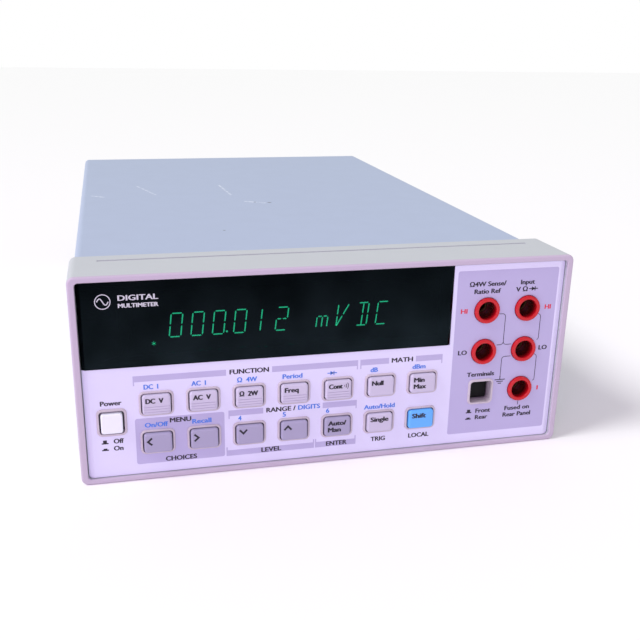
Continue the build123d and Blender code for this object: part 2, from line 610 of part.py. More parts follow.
with BuildPart() as serial_connector:
    block((31.0, 12.6), SERIAL, REAR_FACE, REAR_FACE + 1.2, 1.2)
    with BuildSketch(behind(REAR_FACE + 1.2)) as shell:
        with Locations(SERIAL):
            Trapezoid(SERIAL_SHELL[0], SERIAL_SHELL[1], 80)
            fillet(shell.vertices(), 1.8)
    extrude(shell.sketch, amount=-6.0)
    with BuildSketch(behind(REAR_FACE + 3.2)) as pins:
        with Locations((SERIAL[0], SERIAL[1] + 1.42)):
            with GridLocations(2.77, 1, 5, 1):
                Circle(0.65)
        with Locations((SERIAL[0], SERIAL[1] - 1.42)):
            with GridLocations(2.77, 1, 4, 1):
                Circle(0.65)
    extrude(pins.sketch, amount=-4.0, mode=Mode.SUBTRACT)
    block(SERIAL_SHELL, SERIAL, 324.0, REAR_FACE)
    with BuildSketch(behind(REAR_FACE + 1.2)) as studs:
        with Locations((SERIAL[0] - 12.5, SERIAL[1]), (SERIAL[0] + 12.5, SERIAL[1])):
            RegularPolygon(2.9, 6)
    extrude(studs.sketch, amount=-5.0)
serial_connector.part.label = "serial_connector"
export_step(serial_connector.part, "parts/serial_connector.step")

with BuildPart() as ground_screw:
    disc(4.0, GROUND, REAR_FACE, REAR_FACE + 2.8)
    disc(2.0, GROUND, REAR_FACE - 6.0, REAR_FACE)
    block((6.0, 1.0), GROUND, REAR_FACE + 1.6, REAR_FACE + 2.8, mode=Mode.SUBTRACT)
    block((1.0, 6.0), GROUND, REAR_FACE + 1.6, REAR_FACE + 2.8, mode=Mode.SUBTRACT)
ground_screw.part.label = "ground_screw"
export_step(ground_screw.part, "parts/ground_screw.step")

# ---------------------------------------------------------------- chassis and main board
TRAY_START = 36.0
TRAY_END = 325.0
TRAY_HALF = 100.0
TRAY_WALL_TOP = 21.0
STANDOFFS = (
    (-86.0, 84.0), (-86.0, 216.0), (0.0, 48.0), (0.0, 216.0), (88.0, 100.0), (88.0, 216.0), (88.0, 300.0),
)
with BuildPart() as chassis_tray:
    slab((-TRAY_HALF, TRAY_HALF), (TRAY_START, TRAY_END), (TRAY_Z, TRAY_Z + SHEET))
    for side in (-1, 1):
        wall = sorted((side * TRAY_HALF, side * (TRAY_HALF - SHEET)))
        slab(wall, (TRAY_START, TRAY_END), (TRAY_Z, TRAY_WALL_TOP))
    post(1.52, 0, COVER_SCREW_DEPTH, (TRAY_Z, TRAY_Z + SHEET), mode=Mode.SUBTRACT)
chassis_tray.part.label = "chassis_tray"
export_step(chassis_tray.part, "parts/chassis_tray.step")

with BuildPart() as board_standoffs:
    for x, depth in STANDOFFS:
        post(3.2, x, depth, (TRAY_Z + SHEET, BOARD_Z))
        post(1.52, x, depth, (TRAY_Z + SHEET + 1, BOARD_Z), mode=Mode.SUBTRACT)
board_standoffs.part.label = "board_standoffs"
export_step(board_standoffs.part, "parts/board_standoffs.step")

BOARD_TOP = BOARD_Z + BOARD
with BuildPart() as main_board:
    with BuildSketch(Plane.XY.offset(BOARD_Z)) as outline:
        with BuildLine():
            Polyline(
                (-96.0, FRONT_Y + 42.0), (96.0, FRONT_Y + 42.0), (96.0, FRONT_Y + 318.0),
                (-20.0, FRONT_Y + 318.0), (-20.0, FRONT_Y + 228.0), (-96.0, FRONT_Y + 228.0),
                close=True,
            )
        make_face()
    extrude(outline.sketch, amount=BOARD)
    for x, depth in STANDOFFS:
        post(1.7, x, depth, (BOARD_Z, BOARD_TOP), mode=Mode.SUBTRACT)
main_board.part.label = "main_board"
export_step(main_board.part, "parts/main_board.step")

with BuildPart() as board_screws:
    for x, depth in STANDOFFS:
        post(2.8, x, depth, (BOARD_TOP, BOARD_TOP + 2.0))
        post(1.5, x, depth, (BOARD_Z - 4.0, BOARD_TOP))
board_screws.part.label = "board_screws"
export_step(board_screws.part, "parts/board_screws.step")

# ---------------------------------------------------------------- transformer
CORE_X = -59.0
CORE_DEPTH = 268.0
CORE_BOTTOM = TRAY_Z + SHEET
CORE_TOP = CORE_BOTTOM + 50.0
with BuildPart() as transformer_core:
    slab((CORE_X - 30, CORE_X + 30), (CORE_DEPTH - 12, CORE_DEPTH + 12), (CORE_BOTTOM, CORE_TOP))
    for side in (-1, 1):
        window = sorted((CORE_X + side * 10, CORE_X + side * 20))
        slab(window, (CORE_DEPTH - 12, CORE_DEPTH + 12), (CORE_BOTTOM + 10, CORE_TOP - 10),
             mode=Mode.SUBTRACT)
transformer_core.part.label = "transformer_core"
export_step(transformer_core.part, "parts/transformer_core.step")

with BuildPart() as transformer_coil:
    slab((CORE_X - 19.6, CORE_X + 19.6), (CORE_DEPTH - 22, CORE_DEPTH + 22),
         (CORE_BOTTOM + 10.4, CORE_TOP - 10.4))
    fillet(transformer_coil.edges().filter_by(Axis.Z), 5.0)
    slab((CORE_X - 10.3, CORE_X + 10.3), (CORE_DEPTH - 12.3, CORE_DEPTH + 12.3),
         (CORE_BOTTOM, CORE_TOP), mode=Mode.SUBTRACT)
transformer_coil.part.label = "transformer_coil"
export_step(transformer_coil.part, "parts/transformer_coil.step")

with BuildPart() as transformer_strap:
    with BuildSketch(behind(CORE_DEPTH - 8)) as strap:
        with BuildLine():
            foot_z = CORE_BOTTOM + 0.7
            Polyline(
                (CORE_X - 38, foot_z), (CORE_X - 30.8, foot_z), (CORE_X - 30.8, CORE_TOP + 0.8),
                (CORE_X + 30.8, CORE_TOP + 0.8), (CORE_X + 30.8, foot_z), (CORE_X + 38, foot_z),
            )
        trace(line_width=1.2)
    extrude(strap.sketch, amount=-16)
transformer_strap.part.label = "transformer_strap"
export_step(transformer_strap.part, "parts/transformer_strap.step")

# ---------------------------------------------------------------- board components and leads
with BuildPart() as input_shield:
    slab((64.0, 94.0), (112.0, 200.0), (BOARD_TOP, 44.0))
    slab((64.8, 93.2), (112.8, 199.2), (BOARD_TOP, 43.2), mode=Mode.SUBTRACT)
input_shield.part.label = "input_shield"
export_step(input_shield.part, "parts/input_shield.step")

with BuildPart() as relays:
    for step in range(4):
        x = 18.0
        depth = 66.0 + step * 24.0
        slab((x - 5, x + 5), (depth - 9, depth + 9), (BOARD_TOP, BOARD_TOP + 11))
relays.part.label = "relays"
export_step(relays.part, "parts/relays.step")

with BuildPart() as circuit_packages:
    for depth in (70.0, 96.0, 122.0, 148.0):
        for x in (-58.0, -34.0, -10.0):
            slab((x - 7, x + 7), (depth - 7, depth + 7), (BOARD_TOP, BOARD_TOP + 3.2))
circuit_packages.part.label = "circuit_packages"
export_step(circuit_packages.part, "parts/circuit_packages.step")

with BuildPart() as supply_capacitors:
    for x, radius, top in ((-80.0, 9.0, 42.0), (-56.0, 9.0, 42.0), (-34.0, 6.5, 34.0)):
        post(radius, x, 192.0, (BOARD_TOP, top))
    fillet(supply_capacitors.edges().group_by(Axis.Z)[-1], 0.8)
supply_capacitors.part.label = "supply_capacitors"
export_step(supply_capacitors.part, "parts/supply_capacitors.step")

with BuildPart() as heat_sink:
    slab((-14.0, 10.0), (238.0, 242.0), (BOARD_TOP, 50.0))
    for x in range(-14, 11, 4):
        slab((x - 0.6, x + 0.6), (242.0, 256.0), (BOARD_TOP, 50.0))
heat_sink.part.label = "heat_sink"
export_step(heat_sink.part, "parts/heat_sink.step")

with BuildPart() as ribbon_cable:
    with BuildSketch(Plane.YZ.offset(-46.0)) as strip:
        with BuildLine():
            FilletPolyline(
                (FRONT_Y + 14.7, 25.0), (FRONT_Y + 30.0, 25.0),
                (FRONT_Y + 38.0, 16.8), (FRONT_Y + 56.0, 16.8),
                radius=4,
            )
        trace(line_width=0.9)
    extrude(strip.sketch, amount=32)
ribbon_cable.part.label = "ribbon_cable"
export_step(ribbon_cable.part, "parts/ribbon_cable.step")
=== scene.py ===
"""Looks of a half-rack bench multimeter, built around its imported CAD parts.

The CAD parts keep their shapes and get finishes. The printed legends, the glowing characters and the
small contacts are new pieces that ride on the CAD bodies. Lengths are in millimetres in the row frame:
+Z up, the front panel faces -Y, and a "depth" is a distance behind the front rim.
"""

import json
import logging
import math
from dataclasses import dataclass, field
from enum import Enum
from typing import Any, Iterable, Sequence

import bmesh
import bpy
import numpy as np
from bpy.types import Material, Node, NodeSocket, Object
from mathutils import Euler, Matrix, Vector

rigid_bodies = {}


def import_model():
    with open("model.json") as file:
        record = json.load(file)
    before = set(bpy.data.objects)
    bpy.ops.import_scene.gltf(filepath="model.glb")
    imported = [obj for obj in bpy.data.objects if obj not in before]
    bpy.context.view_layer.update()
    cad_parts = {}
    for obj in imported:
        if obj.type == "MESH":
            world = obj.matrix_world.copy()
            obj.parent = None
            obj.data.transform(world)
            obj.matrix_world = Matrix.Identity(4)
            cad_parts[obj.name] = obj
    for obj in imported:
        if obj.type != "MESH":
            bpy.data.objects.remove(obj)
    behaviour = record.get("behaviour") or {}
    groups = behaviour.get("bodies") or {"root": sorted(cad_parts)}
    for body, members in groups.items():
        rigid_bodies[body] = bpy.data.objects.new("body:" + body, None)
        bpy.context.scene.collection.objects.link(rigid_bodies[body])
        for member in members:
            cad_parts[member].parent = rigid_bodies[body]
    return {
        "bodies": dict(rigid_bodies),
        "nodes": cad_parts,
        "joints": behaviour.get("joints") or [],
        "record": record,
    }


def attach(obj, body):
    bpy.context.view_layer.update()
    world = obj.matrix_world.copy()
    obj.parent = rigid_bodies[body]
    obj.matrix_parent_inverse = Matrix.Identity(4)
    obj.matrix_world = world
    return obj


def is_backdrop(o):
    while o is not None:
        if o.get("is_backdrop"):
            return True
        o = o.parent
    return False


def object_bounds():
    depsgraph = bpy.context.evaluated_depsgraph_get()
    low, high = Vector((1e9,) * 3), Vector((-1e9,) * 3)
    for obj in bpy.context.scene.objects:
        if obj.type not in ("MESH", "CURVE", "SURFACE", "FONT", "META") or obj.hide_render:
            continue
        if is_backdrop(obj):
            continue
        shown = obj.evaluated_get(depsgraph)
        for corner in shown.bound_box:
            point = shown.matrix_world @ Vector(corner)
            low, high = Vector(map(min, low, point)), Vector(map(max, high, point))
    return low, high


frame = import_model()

log = logging.getLogger("multimeter")

MM = 0.001
RIM_Y = -173.65  # Y of the front rim's plane
BODY = "instrument"  # the body that does not move

# keypad and push switches on the front panel, in x and z
KEY_FIRST = -74.8
KEY_PITCH = 19.05
KEY_ROWS = (33.9, 16.8)
KEY_WIDTH = 11.4
KEYS = (("dc_volts", "ac_volts", "ohms", "frequency", "continuity", "null", "min_max"),
        ("left", "right", "down", "up", "auto_manual", "single", "shift"))
KEY_SURROUND = (14.1, 10.8)
SWITCH_X = (-92.8, 67.6)
SWITCH_Z = 26.9
SWITCH_SURROUND = 12.0

PANEL_SHADE = "#B9B3D8"
SURROUND_TINT = "#C6BDC6"
JACK_RED = "#C4101E"
# painted shade: the colour that the jack bores darken to behind their mouths
JACK_BORE_SHADE = "#52080D"
PHOSPHOR = "#35D79E"

# wear on top of the sleeve: both ends and the width of a scratch, the middle and the size of a chip
SLEEVE_SCRATCHES = (
    ((-71.6, 46.0, 85.1), (-61.9, 14.2, 85.1), 0.9), ((-20.7, 43.3, 85.1), (-17.9, 8.4, 85.1), 0.9),
    ((-98.2, 15.7, 85.1), (-92.1, 11.0, 85.1), 1.3), ((-12.4, -13.7, 85.1), (-2.8, -19.4, 85.1), 1.5),
)
SLEEVE_CHIPS = (((0.4, -19.0, 85.1), 1.5), ((-34.7, -87.0, 85.1), 0.9), ((-7.5, -16.6, 85.1), 1.0))

# sockets of the Mix node when it mixes colours
MIX_FIRST, MIX_SECOND, MIXED = 6, 7, 2

Point = tuple[float, float]
Point3 = tuple[float, float, float]
Colour = tuple[float, float, float, float]
Outline = tuple[np.ndarray, list[tuple[int, ...]]]
Area = tuple[Point, Point, float, str]


def srgb(code: str) -> Colour:
    """Changes a display colour to the linear colour that shaders use.

    Args:
        code: colour as "#RRGGBB".

    Returns:
        Linear red, green and blue, and full opacity.
    """
    parts = np.array([int(code[i:i + 2], 16) for i in (1, 3, 5)]) / 255
    linear = np.where(parts <= 0.04045, parts / 12.92, ((parts + 0.055) / 1.055) ** 2.4)
    return (float(linear[0]), float(linear[1]), float(linear[2]), 1.0)


class Nodes:
    """The nodes of a material or world in the making.

    Its surface shader is set later, and place gives object coordinates in metres.
    """

    def __init__(self, owner: Any) -> None:
        """Empties the owner's node tree.

        Args:
            owner: the new material or world.
        """
        owner.use_nodes = True
        self.tree = owner.node_tree
        self.tree.nodes.clear()
        self.place = self.add("TexCoord").outputs["Object"]
        self.shader: Node | None = None

    def add(self, kind: str, inputs: dict[Any, Any] | None = None, **settings: Any) -> Node:
        """Adds one node with its settings and links.

        Args:
            kind: Blender's type name of the node, after "ShaderNode".
            inputs: input name or number to its fixed value, or to the output socket that feeds it.
            settings: properties of the node itself.

        Returns:
            The new node.
        """
        made = self.tree.nodes.new("ShaderNode" + kind)
        for name, value in settings.items():
            setattr(made, name, value)
        for name, value in (inputs or {}).items():
            if isinstance(value, NodeSocket):
                self.tree.links.new(value, made.inputs[name])
            else:
                made.inputs[name].default_value = value
        return made

    def feed(self, name: str, socket: NodeSocket) -> None:
        """Links a socket to the named input of the surface shader."""
        self.tree.links.new(socket, self.shader.inputs[name])


# ---------------------------------------------------------------- finishes
class Surface(Enum):
    """Relief of a surface: size and depth of its grain."""

    SMOOTH = (1.0, 0.0)
    SATIN = (0.35, 0.004)
    MOULDED = (0.55, 0.022)
    PAINTED = (0.9, 0.010)
    SHEET = (2.5, 0.008)


@dataclass(frozen=True)
class Finish:
    """A finish with a fine grain and a slight unevenness of tone; extra holds further shader inputs."""

    name: str
    colour: str
    roughness: float
    metallic: float = 0.0
    surface: Surface = Surface.SMOOTH
    unevenness: float = 0.02
    specular: float = 0.5
    coat: float = 0.0
    patch: float = 12.0
    extra: tuple[tuple[str, Any], ...] = ()

    def build(self) -> Material:
        """Makes the material.

        Returns:
            The new Blender material.
        """
        material = bpy.data.materials.new(self.name)
        material.diffuse_color = srgb(self.colour)
        on = Nodes(material)
        on.add("OutputMaterial", {"Surface": self.shade(on)})
        return material

    def shade(self, on: Nodes) -> NodeSocket:
        """Adds the surface shader with its pattern and grain.

        Args:
            on: nodes of the material.

        Returns:
            Socket that gives the finished surface.
        """
        on.shader = on.add("BsdfPrincipled", {
            "Base Color": srgb(self.colour), "Roughness": self.roughness, "Metallic": self.metallic,
            "Specular IOR Level": self.specular, "Coat Weight": self.coat, "Coat Roughness": 0.08,
            **dict(self.extra),
        })
        self.pattern(on)
        self.grain(on)
        return on.shader.outputs["BSDF"]

    def pattern(self, on: Nodes) -> None:
        """Varies the colour a little from patch to patch.

        Args:
            on: nodes of the material.
        """
        if self.unevenness > 0:
            on.feed("Base Color", self.tone(on, self.colour))

    def tone(self, on: Nodes, colour: str) -> NodeSocket:
        """A colour that wanders by the finish's unevenness, over noise as wide as a patch.

        Args:
            on: nodes of the material.
            colour: the middle colour.

        Returns:
            Socket that gives the colour.
        """
        noise = on.add("TexNoise", {"Vector": on.place, "Scale": 1 / (self.patch * MM), "Detail": 3.0})
        low, high = ((*(min(1.0, c * (1 + side * self.unevenness)) for c in srgb(colour)[:3]), 1.0)
                     for side in (-1, 1))
        inputs = {0: noise.outputs["Fac"], MIX_FIRST: low, MIX_SECOND: high}
        return on.add("Mix", inputs, data_type="RGBA").outputs[MIXED]

    def grain(self, on: Nodes) -> None:
        """Adds the fine relief of the surface: noise as wide as the grain, lifted by its depth.

        Args:
            on: nodes of the material.
        """
        size, depth = self.surface.value
        if depth > 0:
            noise = on.add("TexNoise", {"Vector": on.place, "Scale": 1 / (size * MM), "Detail": 2.0})
            bump = on.add("Bump", {"Strength": 1.0, "Distance": depth * MM, "Height": noise.outputs["Fac"]})
            on.feed("Normal", bump.outputs["Normal"])


@dataclass(frozen=True)
class Screened(Finish):
    """Panel plastic with tinted rectangles with round corners, in x and z, each with its tint."""

    areas: tuple[Area, ...] = ()

    def pattern(self, on: Nodes) -> None:
        """Tints each area: a point is inside where |max(|p - middle| - half + corner, 0)| < corner.

        Args:
            on: nodes of the material.
        """
        mixed = self.tone(on, self.colour)
        tints = {area[3]: self.tone(on, area[3]) for area in self.areas}
        for (x0, x1), (z0, z1), corner, shade in self.areas:
            middle = ((x0 + x1) / 2 * MM, 0.0, (z0 + z1) / 2 * MM)
            half = (((x1 - x0) / 2 - corner) * MM, 1.0, ((z1 - z0) / 2 - corner) * MM)
            reach = on.place
            for operation, value in (("SUBTRACT", middle), ("ABSOLUTE", None), ("SUBTRACT", half),
                                     ("MAXIMUM", (0.0, 0.0, 0.0)), ("LENGTH", None)):
                inputs = {0: reach} if value is None else {0: reach, 1: value}
                step = on.add("VectorMath", inputs, operation=operation)
                reach = step.outputs["Value" if operation == "LENGTH" else "Vector"]
            inside = on.add("Math", {0: reach, 1: corner * MM}, operation="LESS_THAN").outputs["Value"]
            inputs = {0: inside, MIX_FIRST: mixed, MIX_SECOND: tints[shade]}
            mixed = on.add("Mix", inputs, data_type="RGBA").outputs[MIXED]
        on.feed("Base Color", mixed)


@dataclass(frozen=True)
class Recessed(Finish):
    """Moulding whose colour changes with depth behind its front edge: painted shade in a jack's bore, and
    painted lamp colour on the bezel, pinker on its front rim than behind it.
    """

    inner: str = "#000000"
    start: float = 0.7
    reach: float = 3.0

    def pattern(self, on: Nodes) -> None:
        """Blends to the inner colour with depth behind the mouth, as painted shade in a jack's bore and
        painted lamp colour on the bezel.

        Args:
            on: nodes of the material.
        """
        along = on.add("SeparateXYZ", {"Vector": on.place}).outputs["Y"]
        first = (RIM_Y + self.start) * MM
        deep = on.add("MapRange", {"Value": along, "From Min": first, "From Max": first + self.reach * MM})
        inputs = {0: deep.outputs["Result"], MIX_FIRST: self.tone(on, self.colour),
                  MIX_SECOND: self.tone(on, self.inner)}
        on.feed("Base Color", on.add("Mix", inputs, data_type="RGBA").outputs[MIXED])


@dataclass(frozen=True)
class Striped(Finish):
    """A finish with straight parallel bands, such as steel laminations or a flat cable's wires."""

    second: str = "#808080"
    pitch: float = 1.27
    along: str = "X"
    relief: float = 0.1

    def pattern(self, on: Nodes) -> None:
        """Lays bands of the two colours, one pitch apart: a wave's period is 2 pi / (20 * scale).

        Args:
            on: nodes of the material.
        """
        inputs = {"Vector": on.place, "Scale": math.pi / (10 * self.pitch * MM)}
        wave = on.add("TexWave", inputs, bands_direction=self.along).outputs["Fac"]
        inputs = {0: wave, MIX_FIRST: srgb(self.colour), MIX_SECOND: srgb(self.second)}
        on.feed("Base Color", on.add("Mix", inputs, data_type="RGBA").outputs[MIXED])
        bump = on.add("Bump", {"Distance": self.relief * MM, "Height": wave})
        on.feed("Normal", bump.outputs["Normal"])


@dataclass(frozen=True)
class Scuffed(Finish):
    """Enamel with a few fine pale scratches and small dark chips."""

    scratch: str = "#FFFFFF"
    chip: str = "#6E7688"
    marks: tuple[tuple[Point3, Point3, float], ...] = ()
    chips: tuple[tuple[Point3, float], ...] = ()
    breaks: float = 1.6

    def pattern(self, on: Nodes) -> None:
        """Draws a scratch where the distance to its line is small, broken up by noise, then the chips.

        Args:
            on: nodes of the material.
        """
        noise = on.add("TexNoise", {"Vector": on.place, "Scale": 1 / (self.breaks * MM), "Detail": 4.0})
        broken = on.add("MapRange", {"Value": noise.outputs["Fac"], "From Min": 0.36, "From Max": 0.62})
        shares = []
        for start, end, width in self.marks:
            run = Vector(end) - Vector(start)
            heading = tuple(run.normalized())
            offset = on.add("VectorMath", {0: on.place, 1: tuple(Vector(start) * MM)},
                            operation="SUBTRACT").outputs["Vector"]
            along = on.add("VectorMath", {0: offset, 1: heading}, operation="DOT_PRODUCT").outputs["Value"]
            held = on.add("Clamp", {"Value": along, "Min": 0.0, "Max": run.length * MM}).outputs["Result"]
            nearest = on.add("VectorMath", {0: heading, "Scale": held}, operation="SCALE").outputs["Vector"]
            gap = on.add("VectorMath", {0: offset, 1: nearest}, operation="DISTANCE").outputs["Value"]
            near = on.add("MapRange", {"Value": gap, "From Min": width * MM, "From Max": width * 0.4 * MM})
            share = on.add("Math", {0: near.outputs["Result"], 1: broken.outputs["Result"]},
                           operation="MULTIPLY")
            shares.append((share.outputs["Value"], self.scratch))
        for spot, size in self.chips:
            gap = on.add("VectorMath", {0: on.place, 1: tuple(Vector(spot) * MM)}, operation="DISTANCE")
            near = on.add("MapRange", {"Value": gap.outputs["Value"], "From Min": size * MM,
                                       "From Max": size * 0.5 * MM})
            shares.append((near.outputs["Result"], self.chip))
        mixed = self.tone(on, self.colour)
        for share, colour in shares:
            inputs = {0: share, MIX_FIRST: mixed, MIX_SECOND: srgb(colour)}
            mixed = on.add("Mix", inputs, data_type="RGBA").outputs[MIXED]
        on.feed("Base Color", mixed)


@dataclass(frozen=True)
class Spangled(Finish):
    """Galvanised sheet: crystals of slightly different brightness."""

    crystal: float = 5.0
    spread: float = 0.08

    def pattern(self, on: Nodes) -> None:
        """Gives each crystal, a cell of a Voronoi pattern, its own roughness.

        Args:
            on: nodes of the material.
        """
        cells = on.add("TexVoronoi", {"Vector": on.place, "Scale": 1 / (self.crystal * MM)})
        rough = on.add("MapRange", {"Value": cells.outputs["Color"], "To Min": self.roughness - self.spread,
                                    "To Max": self.roughness + self.spread})
        on.feed("Roughness", rough.outputs["Result"])


@dataclass(frozen=True)
class Traced(Finish):
    """Solder mask over a net of copper tracks."""

    track: str = "#2F7A45"
    pitch: float = 2.54
    edges: Point = (0.06, 0.10)

    def pattern(self, on: Nodes) -> None:
        """Lightens the mask along the borders of cells one pitch wide.

        Args:
            on: nodes of the material.
        """
        inputs = {"Vector": on.place, "Scale": 1 / (self.pitch * MM)}
        cells = on.add("TexVoronoi", inputs, feature="DISTANCE_TO_EDGE")
        ramp = on.add("ValToRGB", {"Fac": cells.outputs["Distance"]})
        for stop, edge, colour in zip(ramp.color_ramp.elements, self.edges, (self.track, self.colour)):
            stop.position, stop.color = edge, srgb(colour)
        on.feed("Base Color", ramp.outputs["Color"])


@dataclass(frozen=True)
class Smoked(Finish):
    """Dark acrylic: light passes straight through, tinted, under a weak mirror sheen.

    The sheen is a painted reflection of the bright floor: its share is larger at the foot of the window (low)
    and fades to its top (high); noise breaks it up like uneven wiping.
    """

    gloss: str = "#B4DCF0"
    sheen: float = 0.011
    foot: float = 3.0
    rim: float = 0.03
    low: float = 50.0
    high: float = 84.0
    smear: float = 22.0

    def shade(self, on: Nodes) -> NodeSocket:
        """Mixes the see-through and the mirror shader, by the painted reflection's share.

        Args:
            on: nodes of the material.

        Returns:
            Socket that gives the finished surface.
        """
        through = on.add("BsdfTransparent", {"Color": srgb(self.colour)}).outputs["BSDF"]
        mirror = on.add("BsdfGlossy", {"Color": srgb(self.gloss), "Roughness": self.roughness})
        height = on.add("SeparateXYZ", {"Vector": on.place}).outputs["Z"]
        # painted reflection: more mirror at the foot of the window, less at its top
        painted_floor_reflection = on.add("MapRange", {"Value": height, "From Min": self.low * MM, "From Max": self.high * MM,
                                   "To Min": self.sheen * self.foot, "To Max": self.sheen})
        wiped = on.add("TexNoise", {"Vector": on.place, "Scale": 1 / (self.smear * MM), "Detail": 3.0})
        uneven = on.add("Math", {0: painted_floor_reflection.outputs["Result"], 1: wiped.outputs["Fac"]}, operation="MULTIPLY")
        edge = on.add("LayerWeight", {"Blend": 0.25}).outputs["Facing"]
        grazing = on.add("Math", {0: edge, 1: self.rim}, operation="MULTIPLY").outputs["Value"]
        share = on.add("Math", {0: uneven.outputs["Value"], 1: grazing}, operation="ADD").outputs["Value"]
        return on.add("MixShader", {0: share, 1: through, 2: mirror.outputs["BSDF"]}).outputs["Shader"]


def panel_areas() -> tuple[Area, ...]:
    """The tinted areas of the front panel: two screened fields, then the moulded surrounds of the keys.

    Returns:
        Left and right, bottom and top, corner radius and tint of each.
    """
    fields = [((53.2, 100.2), (6.9, 83.1), 1.0, PANEL_SHADE), ((-83.7, -47.2), (6.9, 27.5), 1.0, PANEL_SHADE)]
    middles = [(KEY_FIRST + KEY_PITCH * column, z, *KEY_SURROUND) for z in KEY_ROWS for column in range(7)]
    middles += [(x, SWITCH_Z, SWITCH_SURROUND, SWITCH_SURROUND) for x in SWITCH_X]
    lips = [((x - w / 2, x + w / 2), (z - h / 2, z + h / 2), 2.2, SURROUND_TINT) for x, z, w, h in middles]
    return (*fields, *lips)


# finish of each CAD material slot
SLOT_FINISHES: dict[str, Finish] = {
    # ABS moulded in a spark-eroded tool: a fine even grain that breaks highlights into a soft glow
    # painted light: the front rim is coloured pinker, as the front lamp lights it, and the surfaces behind it
    # greenish grey, as light from above falls on the top
    "bezel_plastic": Recessed("bezel_abs_textured", "#C1B5C7", 0.50, surface=Surface.MOULDED, specular=0.4,
                              inner="#C2C8CB", start=0.5, reach=0.9),
    # moulded polycarbonate, satin: smoother than the bezel, with broad dull highlights
    "panel_plastic": Screened("panel_polycarbonate", "#DEDCF6", 0.42, surface=Surface.SATIN, specular=0.45,
                              areas=panel_areas()),
    # cast smoked acrylic, polished: nearly black, with a painted reflection that is stronger low on the
    # window and uneven where it was wiped
    "smoked_window": Smoked("window_smoked_acrylic", "#3E4545", 0.02),
    # drawn glass over a dark anode plate: black, with almost no sheen behind the window
    "tube_glass": Finish("tube_dark_glass", "#05080B", 0.08, specular=0.1, unevenness=0.1),
    # epoxy board under screened solder mask: glossy deep green, lighter over the tracks
    "circuit_board": Traced("board_solder_mask", "#0F4A28", 0.35, specular=0.5),
    # moulded silicone, filled with carbon: dull dark grey
    "keypad_rubber": Finish("keypad_silicone", "#48484C", 0.75, surface=Surface.SATIN),
    # moulded ABS key caps, satin: soft highlights on the rounded edges
    "key_light": Finish("key_abs_light", "#C8C2D8", 0.42, surface=Surface.SATIN),
    "key_dark": Finish("key_abs_grey", "#A49FBC", 0.42, surface=Surface.SATIN),
    "key_blue": Finish("key_abs_blue", "#62B2FA", 0.42, surface=Surface.SATIN),
    # the same in off-white, for the power button
    "white_plastic": Finish("button_abs_white", "#ECF0F8", 0.40, surface=Surface.SATIN),
    # moulded nylon and phenolic: flat black
    "black_plastic": Finish("moulding_black_nylon", "#08080A", 0.55, surface=Surface.SATIN, specular=0.2),
    # glass-smooth moulded nylon: saturated red with crisp highlights, darkened inside the bore by painted
    # shade
    "jack_red": Recessed("jack_red_nylon", JACK_RED, 0.24, surface=Surface.SATIN, specular=0.45,
                         inner=JACK_BORE_SHADE),
    # turned brass under thin nickel: warm grey metal
    "contact_brass": Finish("contact_brass", "#6E5A3A", 0.34, metallic=1.0, unevenness=0.05),
    # enamel baked on sheet steel: a faint orange peel, scratched pale by handling
    "sleeve_paint": Scuffed("sleeve_enamel", "#AEBCD4", 0.46, surface=Surface.PAINTED, specular=0.45,
                            unevenness=0.03, scratch="#DDE5F2", marks=SLEEVE_SCRATCHES,
                            chips=SLEEVE_CHIPS),
    # rolled steel, zinc-plated: a bluish grey shine
    "screw_steel": Finish("screw_zinc_steel", "#A9AAAE", 0.35, metallic=1.0, unevenness=0.04),
    # hot-dip galvanised sheet: flakes that catch the light in turn
    "chassis_steel": Spangled("chassis_galvanised", "#A7AAAE", 0.38, metallic=0.9, surface=Surface.SHEET),
    # turned and nickel-plated: a bright, slightly warm mirror
    "nickel_plate": Finish("connector_nickel", "#BDB9B2", 0.22, metallic=1.0, unevenness=0.03),
    # drawn steel shell, tin-plated: a duller and cooler shine than nickel
    "connector_shell": Finish("shell_tin_plate", "#9FA2A6", 0.32, metallic=1.0, unevenness=0.04),
    # stacked silicon-steel laminations, varnished: fine dark lines
    "core_steel": Striped("core_laminations", "#2C2A29", 0.5, metallic=0.4, second="#4B4744", pitch=1.0,
                          along="Y", relief=0.05),
    # wound polyester tape: glossy yellow film
    "coil_tape": Finish("coil_polyester_tape", "#C9A22F", 0.3, coat=0.4),
    # moulded polyester: plain orange, half gloss
    "relay_case": Finish("relay_case_pbt", "#D9913A", 0.35),
    # transfer-moulded epoxy: dull black
    "package_black": Finish("package_epoxy", "#141416", 0.6, surface=Surface.SATIN),
    # heat-shrunk vinyl: glossy dark blue
    "capacitor_sleeve": Finish("capacitor_pvc_sleeve", "#101A3C", 0.3, coat=0.3),
    # extruded aluminium, anodised black: a soft dark metal sheen
    "heat_sink_black": Finish("heat_sink_anodised", "#1B1B1D", 0.45, metallic=0.6),
    # extruded vinyl flat cable: a ridge for each wire
    "ribbon_grey": Striped("ribbon_pvc", "#9FA2A6", 0.5, second="#7C7F84", pitch=1.27, along="X",
                           relief=0.15),
}

